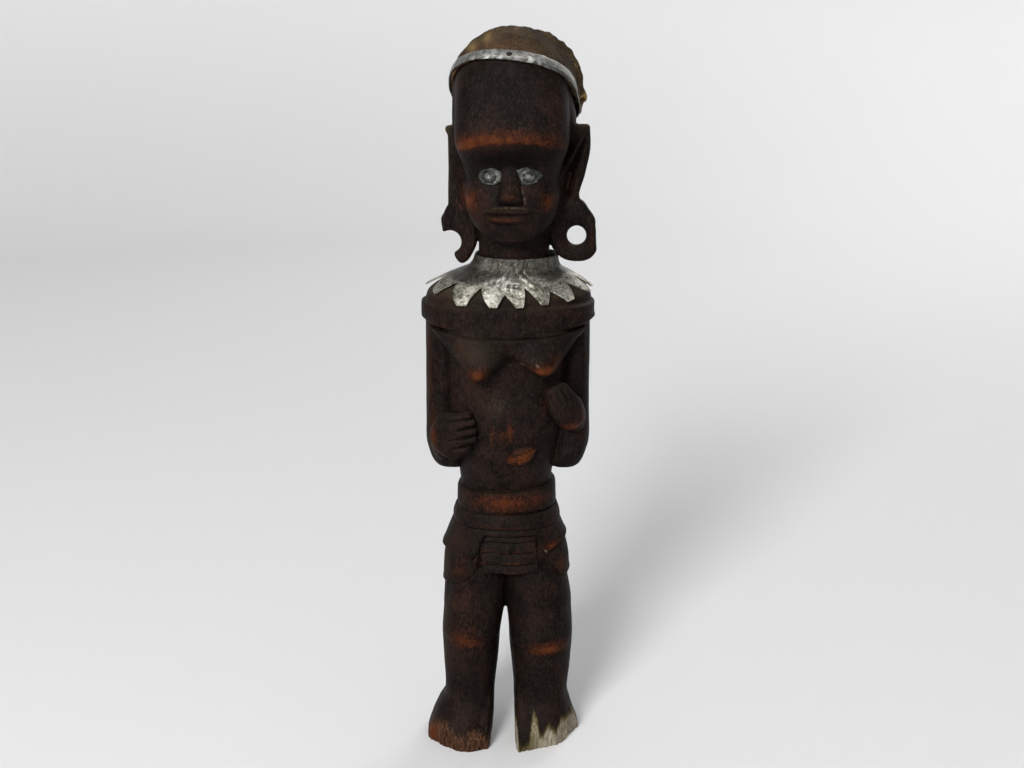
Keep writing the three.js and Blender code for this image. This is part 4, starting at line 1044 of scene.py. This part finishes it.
def nail_form(radius):
    """A low hammered dome: height (1 - r^2.4) of the radius, with a slightly flattened side."""
    turn = full_turn(28)[None, :]
    dome = np.sin(np.linspace(0, 1, 10)[:0:-1] * math.pi / 2)
    r, high = np.append(0.999, dome)[:, None], np.append(0.0, 1 - dome ** 2.4)[:, None]
    edge = 1 + 0.05 * np.sin(2 * turn + 0.6) + 0.03 * np.sin(5 * turn)
    x, y = radius * r * edge * np.cos(turn), radius * r * edge * np.sin(turn)
    z = 0.25 + 0.75 * high + 0.06 * np.sin(3 * turn + 4 * r) * r
    z[0] = 0
    points, faces = closed_tube(np.stack([x, y, z], -1))
    c, s = math.cos(math.pi / 2 + NAIL_LEAN), math.sin(math.pi / 2 + NAIL_LEAN)
    tip = np.array([[1, 0, 0], [0, c, -s], [0, s, c]])
    foot = np.concatenate(rim_point(np.array([-math.pi / 2]), BAND_PLANE, 2.6, 0))
    return turned((points @ tip.T + foot, faces))


def cap_mesh(thick):
    """A closed shell of hide over the cranium: rings from the crown down the outside to the hem and back up the
    inside. Relief moves each ring along the cranium's own normals, found by differences over the grid."""
    count = 480
    turn = full_turn(count)
    degrees = (turn / DEG + 180) % 360 - 180
    ring = WAVE_CIRCLE * np.stack([np.cos(turn), np.sin(turn), 0 * turn], -1)
    ragged = 0.8 * waves(ring, 7, 61, 3) + 0.45 * waves(ring, 1.5, 62, 2)
    spikes = 0.5 + 0.5 * np.sin(turn * 95) * np.sin(turn * 41 + 1)
    tufts = (1.5 * spikes - 6.4) * bell(degrees - 17, 12) + (0.4 + 2.6 * spikes) * bell(degrees + 166, 6)
    low = rim_point(turn, HEM_PLANE, 1.0, -ragged * 0.8 - tufts)[2]
    share = np.linspace(0, 1, 100)[:, None]
    height = low + (CROWN - low) * np.sin(share * math.pi / 2)
    x, y = outline(row_at(CRANIUM, height), turn)
    base = np.stack([x, y, height], -1)
    normal = np.cross(np.roll(base, -1, 1) - np.roll(base, 1, 1), np.gradient(base, axis=0))
    normal /= np.maximum(np.linalg.norm(normal, axis=2, keepdims=True), 1e-9)
    normal[-1] = (0, 0, 1)
    # The stiff fold at the figure's left, its torn lower edge standing off
    path = np.interp(height, (300, 309, 324, 334, 337), (19, 18, 17, 20, 30))
    away = (degrees - path) * DEG * np.hypot(x, y)
    tall = np.interp(height, (300, 309, 315, 324, 333, 336.8), (5.0, 4.5, 4.0, 3.8, 2.6, 0))
    fold = np.where(away < 0, ramp(away, -5.0, -1.8), bell(away, 8.5)) * tall
    fold += (1.3 * bell(away + 8.5, 4.5) - 1.9 * bell(away + 5, 1.1)) * tall / 4
    fold += 0.7 * waves(base * (1, 1, 0.5), 5, 65, 2) * ramp(fold, 0.5, 2.5)
    fold += 1.6 * bell(away - 1, 4) * ramp(-share, -0.1, 0)
    # Lumps and creases elsewhere, pressed flat under the band
    creases = np.abs(waves(base * (1, 1, 0.6), 10, 64, 2))
    dip = crown_dip(x, y, height)
    relief = 0.45 * waves(base, 15, 63, 3) + 0.3 * np.minimum(creases * 1.6, 1) - 0.25 - 2.4 * dip
    pressed = np.maximum(bell(height - rim_point(turn, BAND_PLANE, 2, 0)[2], 3.4), ramp(-height, -low - 3, -low))
    relief = relief * (1 - 0.94 * pressed) + fold
    rise = thick * (0.55 + 0.45 * ramp(share, 0, 0.03)) + np.maximum(relief, -0.7 - 1.92 * dip)
    outer = base + normal * (0.42 + rise)[..., None]
    inner = base + normal * (0.42 - 1.92 * dip + np.maximum(relief - 0.4, 0))[..., None]
    points, faces = turned(closed_tube(np.concatenate([outer[::-1], inner])))
    mesh = new_mesh("hide_cap_shell", points, faces[:, ::-1])
    soft = relaxed(points, mesh, [0.6] * 30)
    keep(mesh, "bulge", ((points - soft) * point_rows(mesh, "normal")).sum(1) * 6)
    fray = ramp(share, 0.05, 0.01) * bell(degrees - 17, 8) + 0.08 * ramp(-share, -0.03, 0)
    fray += 0.5 * spot(x, height, -10.2, 334, 1.8, 2.2) + 0.5 * spot(x, height, -16.5, 330, 2.2, 1.8)
    for name, field in (
        ("lower", bell(height - low, 6) * ramp(np.abs(degrees), 30, 60)), ("frayed", np.clip(fray, 0, 1)),
        # Painted shade on the front of the figure's left side, away from the light
        ("painted_side_shade", ramp(x, 0, 16) * ramp(-y, -22, 0)),
    ):
        keep(mesh, name, np.concatenate([field[-1:], field[::-1], field, field[-1:]]).ravel())
    return mesh


def band_tarnish(x, y, z):
    """Painted shade along its lower edge and where the fold shades it, over a slight even tarnish."""
    below = BAND_PLANE[0] + BAND_PLANE[1] * (x - HEAD_SHIFT[0]) + BAND_PLANE[2] * y - z
    return 2.0 * ramp(x, 22, 27) * ramp(y, 0, 5) + 0.1 + 1.3 * ramp(below, 1.5, 2.6)


def band_bright(x, y, z):
    """Painted highlights on both sides of the nail."""
    rubbed = 0.6 * bell(x + 9, 9) + 0.5 * bell(x - 11, 5)
    return rubbed * (y < 0) * ramp(waves(np.stack([x, y, z], -1), 4, 72, 3), -0.4, 0.5)


def collar_bright(x, y, z):
    """Painted highlights at the front, in one broken patch and on one tooth."""
    broken = ramp(waves(np.stack([x, y, z], -1), 2.4, 71, 3), -0.1, 0.5)
    return (0.8 * spot(x, z, -2, 228.4, 7, 2.6) * broken + 0.25 * spot(x, z, -7, 223, 4, 2.4)) * (y < 0)


def collar_tarnish(x, y, z):
    """Dark towards the neck, in two blotches and along the seam, with painted shade in the slit."""
    # The bell follows the seam; the stroke is painted shade in the slit
    front = 0.8 * bell(x - 4.5, 0.5) * ramp(z, 231, 233) + 3.0 * stroke(x, z, -0.4, 227.7, 5.8, 226.9, 0.5)
    blotches = spot(x, z, -17, 231, 9, 3.5) + 0.7 * spot(x, z, 20, 233, 4, 6)
    return blotches + 0.75 * ramp(z, 227, 234) + front * (y < 0)


# ---- finishes ----

def tone(red, green, blue):
    """An sRGB colour as linear numbers."""
    def linear(c):
        c /= 255
        return c / 12.92 if c <= 0.04045 else ((c + 0.055) / 1.055) ** 2.4
    return (linear(red), linear(green), linear(blue), 1.0)


def sign(operation, swapped=False):
    """The method behind a sign of sums: it makes one Math node of two values."""
    def act(self, other):
        values = (other, self) if swapped else (self, other)
        return self.finish.node("ShaderNodeMath", {"operation": operation}, values)
    return act


class Value:
    """A shader socket that takes part in sums: each sign makes a Math node."""
    __add__ = __radd__ = sign("ADD")
    __sub__, __rsub__ = sign("SUBTRACT"), sign("SUBTRACT", True)
    __mul__ = __rmul__ = sign("MULTIPLY")
    __truediv__, __rtruediv__ = sign("DIVIDE"), sign("DIVIDE", True)
    __pow__, __rpow__ = sign("POWER"), sign("POWER", True)

    def __init__(self, finish, socket):
        self.finish, self.socket = finish, socket

    def ramp(self, low, high):
        """0 below low, 1 above high, smooth between."""
        settings = {"interpolation_type": "SMOOTHSTEP"}
        return self.finish.node("ShaderNodeMapRange", settings, {0: self, 1: low, 2: high})


class Finish:
    """One material: every node comes from node(), and the point is the object's own, in millimetres."""

    def __init__(self, name):
        self.material = bpy.data.materials.new(name)
        self.material.use_nodes = True
        self.tree = self.material.node_tree
        self.tree.nodes.clear()
        self.where = self.node("ShaderNodeTexCoord", {}, (), "Object")

    def node(self, kind, settings=None, inputs=(), output=0):
        """One node: its settings first, then a value or a link for each input. Gives back one of its outputs."""
        made = self.tree.nodes.new(kind)
        for key, value in (settings or {}).items():
            if key == "stops":
                for number, (place, colour) in enumerate(value):
                    elements = made.color_ramp.elements
                    stop = elements[number] if number < 2 else elements.new(place)
                    stop.position, stop.color = place, colour
            else:
                setattr(made, key, value)
        for key, value in (inputs.items() if isinstance(inputs, dict) else enumerate(inputs)):
            if isinstance(value, Value):
                self.tree.links.new(value.socket, made.inputs[key])
            else:
                made.inputs[key].default_value = value
        return Value(self, made.outputs[output]) if made.outputs else None

    def attribute(self, name):
        """A number kept with the points of the piece."""
        return self.node("ShaderNodeAttribute", {"attribute_name": name}, (), "Fac")

    def noise(self, size, stretch=(1, 1, 1), detail=3.0, rough=0.55, twist=0.0, shift=0.0):
        """Noise whose features are about size millimetres, longer where stretch is under 1."""
        scale = tuple(1000 * k / size for k in stretch)
        settings = {"operation": "MULTIPLY_ADD"}
        point = self.node("ShaderNodeVectorMath", settings, (self.where, scale, (shift, shift * 0.7, -shift)))
        inputs = {"Vector": point, "Scale": 1.0, "Detail": detail, "Roughness": rough, "Distortion": twist}
        return self.node("ShaderNodeTexNoise", {}, inputs)

    def mix(self, share, first, second):
        """The second colour over the first by its share; a plain colour is its sRGB red, green and blue."""
        settings = {"data_type": "RGBA", "blend_type": "MIX", "clamp_factor": True}
        first, second = (each if isinstance(each, Value) else tone(*each) for each in (first, second))
        return self.node("ShaderNodeMix", settings, {0: share, 6: first, 7: second}, 2)

    def over(self, colour, *layers):
        """Further colours laid over one, each by its share."""
        for share, layer in layers:
            colour = self.mix(share, colour, layer)
        return colour

    def done(self, colour, rough, metal, heights, **constants):
        """heights is a list of (value, distance in metres, strength), each a Bump node on the last."""
        normal = None
        for height, distance, strength in heights:
            inputs = {"Height": height, "Distance": distance, "Strength": strength}
            if normal is not None:
                inputs["Normal"] = normal
            normal = self.node("ShaderNodeBump", {}, inputs)
        inputs = {"Base Color": colour, "Roughness": rough, "Metallic": metal, **constants}
        if normal is not None:
            inputs["Normal"] = normal
        shader = self.node("ShaderNodeBsdfPrincipled", {}, inputs)
        self.node("ShaderNodeOutputMaterial", {}, {"Surface": shader})
        return self.material


def wood_finish():
    """Stained wood: fine upright fibres, mottled stain, rubbed red-brown patches and bleached or bare feet, with
    painted shade, sheen and highlights.
    """
    f = Finish("stained_wood")
    fibre = f.noise(1.0, (1, 1, 0.25), 4, 0.62)
    fine = f.noise(0.42, (1, 1, 0.3), 3, 0.65, shift=5)
    strand = f.noise(0.7, (1, 1, 0.03), 3, 0.6, shift=8)
    blotch = f.noise(15, (1, 1, 0.8), 4, 0.6, 0.4)
    mottle = f.noise(3.2, (1, 1, 0.6), 5, 0.7, 0.3, 3)
    coarse = f.noise(1.1, (1, 1, 0.7), 4, 0.75, 0.4, 13)
    specks = f.noise(0.6, (1, 1, 0.7), 2, 0.7, 0, 9)
    rubbed, edge, bulge, brown, bleach, corner, dust_and_sheen, scratch_and_highlight = (
        f.attribute(name) for name in ("rubbed", "edge", "bulge", "brown", "bleach", "corner", "dust_and_sheen", "scratch_and_highlight"))
    grain = fibre * 0.4 + fine * 0.6
    dark = f.mix((blotch * 0.4 + mottle * 0.3 + grain * 0.4).ramp(0.4, 0.72), (5, 3, 2), (27, 20, 17))
    dark = f.over(
        dark,
        ((blotch * 0.9 + grain * 0.5).ramp(0.66, 0.9) * 0.4, (42, 21, 15)),
        ((coarse * 0.7 + fine * 0.4).ramp(0.53, 0.74) * 0.65, (46, 38, 33)),
        ((coarse * 0.6 + fibre * 0.5).ramp(0.53, 0.4) * 0.6, (3, 2, 2)),
        # Darker in hollows, and in the painted shade
        ((0.0 - bulge).ramp(0.1, 1.5) * 0.85, (3, 2, 2)),
        # Lighter on sharp convex edges: partly edge wear, partly painted highlight
        ((edge + (grain - 0.5) * 0.6).ramp(0.25, 1.0) * 0.4, (64, 47, 38)),
    )
    worn = (rubbed + (grain - 0.5) * 1.7 + (mottle - 0.5) * 0.8).ramp(0.12, 1.1)
    red = f.mix((coarse * 0.6 + fine * 0.4).ramp(0.38, 0.62), (30, 12, 6), (66, 31, 14))
    red = f.mix((rubbed + (mottle - 0.5) * 0.5).ramp(0.75, 1.25) * 0.6, red, (84, 43, 20))
    bare = f.mix((strand * 0.6 + grain * 0.5).ramp(0.42, 0.68), (22, 12, 7), (79, 54, 37))
    bare = f.mix(corner, bare, (74, 35, 16))
    pale = f.mix((strand * 0.7 + grain * 0.4).ramp(0.34, 0.7), (84, 75, 58), (148, 138, 122))
    pale = f.mix((1.1 - bleach).ramp(0.1, 0.6) * 0.6, pale, (96, 86, 52))
    washed = bleach + (strand - 0.5) * 0.7 + (fine - 0.5) * 0.35
    margin, washed = washed.ramp(0.05, 0.5), washed.ramp(0.35, 1.0)
    colour = f.over(
        dark, (worn, red), ((brown + (strand - 0.5) * 0.8 + (fine - 0.5) * 0.3).ramp(0.15, 0.95), bare),
        (margin, (66, 57, 32)), (washed, pale), (specks.ramp(0.72, 0.8) * 0.35, (86, 78, 70)),
        (dust_and_sheen * (0.3 + mottle * 0.7), (82, 75, 58)), (scratch_and_highlight * (fine * 1.7 - 0.2), (128, 114, 92)),
    )
    rough = 0.42 + mottle * 0.2 + washed * 0.3 + dust_and_sheen * 0.3 - worn * 0.04
    heights = [(mottle, 0.0005, 0.3), (coarse, 0.0004, 0.6), (fine, 0.00014, 0.6)]
    return f.done(colour, rough, 0.0, heights, **{"Specular IOR Level": 0.04})


def metal_finish(name, low, high, darkest, rough_base):
    """Scuffed sheet aluminium: dull grey with painted highlights, darker with tarnish and painted shade, dark pits
    and fine scratches.
    """
    f = Finish(name)
    cloud = f.noise(9, (1, 1, 1), 5, 0.6, 0.4)
    fine = f.noise(1.3, (1, 1, 1), 5, 0.75, 0.2, 4)
    lines = f.noise(0.5, (0.25, 1, 2.4), 3, 0.6, 0.3, 7)
    pits = f.noise(0.9, (1, 1, 1), 4, 0.8, 0.3, 11).ramp(0.52, 0.66)
    bright, tarnish = f.attribute("bright"), f.attribute("tarnish")
    colour = f.over(
        f.mix((cloud * 0.7 + fine * 0.5).ramp(0.45, 0.74), low, high),
        # Tarnish, and the painted shade kept with the points
        ((cloud + lines * 0.3 + tarnish * 0.6).ramp(0.82, 1.05) * 0.75, darkest),
        # Painted highlights, which are also made smoother
        (pits * 0.8, darkest), (fine.ramp(0.5, 0.36) * 0.6, darkest), (bright, (214, 213, 208)),
    )
    heights = [(cloud, 0.0009, 0.45), (fine, 0.0005, 0.7), (pits, -0.0002, 0.5), (lines, 0.00005, 0.3)]
    return f.done(colour, rough_base + cloud * 0.18 + fine * 0.16 - bright * 0.22, 0.85, heights)


def hide_finish():
    """Napped hide: brown with tan rubbed spots, redder by the band, a short fuzz and stiff creases; painted shade on
    its side away from the light and in its creases.
    """
    f = Finish("napped_hide")
    blotch = f.noise(9, (1, 1, 1), 4, 0.6, 0.5)
    patch = f.noise(5, (1, 1, 1), 3, 0.55, 0.3, 12)
    nap = f.noise(0.7, (1, 1, 0.6), 4, 0.75, 0.3, 3)
    fuzz = f.noise(0.28, (1, 1, 1), 3, 0.7, 0, 6)
    painted_side_shade = f.attribute("painted_side_shade")
    colour = f.over(
        f.mix((blotch * 0.6 + nap * 0.5).ramp(0.4, 0.72), (46, 35, 25), (88, 73, 54)),
        (f.attribute("lower") * 0.5, (74, 42, 30)),
        ((patch + nap * 0.3 - painted_side_shade * 0.12).ramp(0.68, 0.84) * 0.75, (120, 100, 68)),
        # Painted shade on the side away from the light; dark nap
        (painted_side_shade * 0.4, (34, 28, 19)), ((nap * 0.7 + fuzz * 0.4).ramp(0.56, 0.42) * 0.75, (24, 18, 12)),
        # Painted shade in the creases
        ((0.0 - f.attribute("bulge")).ramp(0.2, 2.2) * 0.8, (22, 17, 12)),
        (f.attribute("frayed"), (150, 124, 78)),
    )
    heights = [(blotch, 0.001, 0.6), (nap, 0.0007, 0.9), (fuzz, 0.0002, 0.7)]
    return f.done(colour, 0.86 + nap * 0.14, 0.0, heights, **{"Specular IOR Level": 0.1})


def nail_finish():
    """Dull iron with brown rust in its pits."""
    f = Finish("dull_iron")
    cloud = f.noise(1.4, (1, 1, 1), 4, 0.65)
    colour = f.mix(cloud.ramp(0.4, 0.7), (20, 15, 12), (52, 46, 40))
    return f.done(colour, 0.42 + cloud * 0.3, 0.7, [(cloud, 0.0002, 0.5)])


def floor_finish():
    """Pale matt studio paper with a barely visible fibre, painted lighter where it rises into the wall."""
    f = Finish("studio_paper")
    cloud = f.noise(60, (1, 1, 1), 4, 0.6)
    # Painted light: lighter up the wall than on the floor
    rise = f.node("ShaderNodeSeparateXYZ", {}, (f.where,), 2).ramp(0.0, 0.5)
    colour = f.mix(rise * 0.97 + cloud * 0.03, (222, 222, 222), (236, 236, 236))
    return f.done(colour, 0.9 + cloud * 0.05, 0.0, [])


# ---- the add-on ----

class FigureSettings(bpy.types.PropertyGroup):
    """Sizes of the trim"""
    band_width: bpy.props.FloatProperty(
        name="Headband width", description="Width of the metal band round the head",
        default=0.0056, min=0.003, max=0.008, unit="LENGTH")
    sheet_thickness: bpy.props.FloatProperty(
        name="Sheet thickness", description="Thickness of the collar, the headband and the eye plates",
        default=0.0007, min=0.0004, max=0.0012, unit="LENGTH")
    hide_thickness: bpy.props.FloatProperty(
        name="Hide thickness", description="Thickness of the cap",
        default=0.0011, min=0.0006, max=0.0018, unit="LENGTH")
    nail_radius: bpy.props.FloatProperty(
        name="Nail radius", description="Half the width of the nail's head",
        default=0.0012, min=0.0008, max=0.003, unit="LENGTH")


class StudioSettings(bpy.types.PropertyGroup):
    """Light and ground"""
    key_power: bpy.props.FloatProperty(
        name="Key light", description="Power of the large soft light in watts", default=66.0, min=0.0)
    fill_power: bpy.props.FloatProperty(
        name="Fill light", description="Power of the light from behind in watts", default=13.0, min=0.0)
    world_colour: bpy.props.FloatVectorProperty(
        name="Room", description="Colour of the room's light", default=(0.98, 0.98, 1.0), subtype="COLOR", size=3)
    world_strength: bpy.props.FloatProperty(
        name="Room strength", description="Strength of the room's light", default=0.31, min=0.0)


class FIGURE_OT_carving(bpy.types.Operator):
    """The carved figure with its wear"""
    bl_idname = "figure.carving"
    bl_label = "Carving"

    def execute(self, context):
        show("carving", carved_mesh(), wood_finish(), "dark_wood", "figure")
        return {"FINISHED"}


class FIGURE_OT_cap(bpy.types.Operator):
    """The hide cap stretched over the head"""
    bl_idname = "figure.cap"
    bl_label = "Hide cap"

    def execute(self, context):
        shell = cap_mesh(context.scene.figure.hide_thickness / MM)
        cap = show("cap_of_hide", shell, hide_finish(), "hide", "hide_cap")
        return {"FINISHED"}


class FIGURE_OT_metal(bpy.types.Operator):
    """The headband and its nail, the collar and the eye plates"""
    bl_idname = "figure.metal"
    bl_label = "Metal trim"

    def execute(self, context):
        sizes = context.scene.figure
        thick = sizes.sheet_thickness / MM
        band_metal = metal_finish("band_aluminium", (84, 84, 79), (158, 158, 152), (36, 34, 30), 0.25)
        collar_metal = metal_finish("scuffed_aluminium", (84, 82, 70), (190, 187, 174), (26, 24, 18), 0.3)
        eye_metal = metal_finish("dull_aluminium", (56, 57, 54), (110, 111, 106), (24, 24, 22), 0.03)
        band = new_mesh("headband_strip", *headband_form(thick, sizes.band_width / MM))
        mark(band, tarnish=band_tarnish, bright=band_bright)
        show("band_of_metal", band, band_metal, "sheet_aluminium", "headband")
        collar = new_mesh("collar_sheet", *collar_form(thick))
        mark(collar, bright=collar_bright, tarnish=collar_tarnish)
        show("collar_of_metal", collar, collar_metal, "sheet_aluminium", "collar")
        for side, name in ((-1, "right_eye_plate"), (1, "left_eye_plate")):
            plate = new_mesh(name + "_skin", *eye_form(side))
            middle = 1.0 + 7.6 * side
            # Painted shade on each plate outside its domed middle, which is left lit
            mark(plate, tarnish=lambda x, y, z: 0.8 * ramp(np.hypot(x - middle, (z - 276.7) * 1.2), 2.2, 4.4))
            show(name + "_sheet", plate, eye_metal, "sheet_aluminium", name)
        nail = new_mesh("nail_head", *nail_form(sizes.nail_radius / MM))
        show("nail_of_iron", nail, nail_finish(), "iron_nail", "headband_nail")
        return {"FINISHED"}


class FIGURE_OT_studio(bpy.types.Operator):
    """The floor, the lights and the camera"""
    bl_idname = "figure.studio"
    bl_label = "Studio"

    def execute(self, context):
        scene, studio = context.scene, context.scene.figure_studio
        around = full_turn(96)[None, :]
        bend = np.linspace(0, math.pi / 2, 24)
        reach = np.concatenate([[1e-3, 600], 1500 + 900 * np.sin(bend), [2400.0]])[:, None]
        rise = np.concatenate([[0, 0], 900 * (1 - np.cos(bend)), [1250.0]])[:, None]
        sweep = np.stack([reach * np.cos(around), reach * np.sin(around), rise + 0 * around], -1)
        sweep = new_mesh("paper_sweep", sweep.reshape(-1, 3), grid_faces(*sweep.shape[:2]))
        floor = placed("floor", sweep)
        sweep.materials.append(floor_finish())
        for name, place, size, power in (
            ("key", (-0.78, -2.05, 1.4), 0.8, studio.key_power), ("fill", (0.9, 1.6, 1.3), 1.0, studio.fill_power),
        ):
            lamp = bpy.data.lights.new(name, "AREA")
            lamp.shape, lamp.size, lamp.energy = "DISK", size, power
            holder = placed(name, lamp)
            holder.location = place
            holder.rotation_euler = (LIGHT_AIM - holder.location).to_track_quat("-Z", "Y").to_euler()
        room = bpy.data.worlds.new("room")
        room.use_nodes = True
        back = room.node_tree.nodes["Background"]
        back.inputs["Color"].default_value = (*studio.world_colour, 1)
        back.inputs["Strength"].default_value = studio.world_strength
        scene.world = room
        lens = bpy.data.cameras.new("camera")
        lens.lens, lens.sensor_width = 50, 36
        camera = placed("camera", lens)
        camera.location = CAMERA_PLACE
        camera.rotation_euler = (CAMERA_TILT, 0, 0)
        scene.camera = camera
        scene.view_settings.view_transform = "Standard"
        return {"FINISHED"}


class FIGURE_PT_panel(bpy.types.Panel):
    """Buttons for each piece and for the studio"""
    bl_idname = "FIGURE_PT_panel"
    bl_label = "Carved Figure"
    bl_space_type = "VIEW_3D"
    bl_region_type = "UI"
    bl_category = "Figure"

    def draw(self, context):
        for group in (context.scene.figure, context.scene.figure_studio):
            for name in group.__annotations__:
                self.layout.prop(group, name)
        for operator in OPERATORS:
            self.layout.operator(operator.bl_idname)


OPERATORS = (FIGURE_OT_carving, FIGURE_OT_cap, FIGURE_OT_metal, FIGURE_OT_studio)
CLASSES = (FigureSettings, StudioSettings, *OPERATORS, FIGURE_PT_panel)


def register():
    """Makes the classes known to Blender and gives the scene its settings."""
    for each in CLASSES:
        bpy.utils.register_class(each)
    bpy.types.Scene.figure = bpy.props.PointerProperty(type=FigureSettings)
    bpy.types.Scene.figure_studio = bpy.props.PointerProperty(type=StudioSettings)


def unregister():
    """Takes the settings and the classes away again."""
    del bpy.types.Scene.figure_studio
    del bpy.types.Scene.figure
    for each in reversed(CLASSES):
        bpy.utils.unregister_class(each)


def main():
    """Builds every piece and the studio."""
    register()
    bpy.ops.figure.carving()
    bpy.ops.figure.cap()
    bpy.ops.figure.metal()
    bpy.ops.figure.studio()


if __name__ == "__main__":
    main()
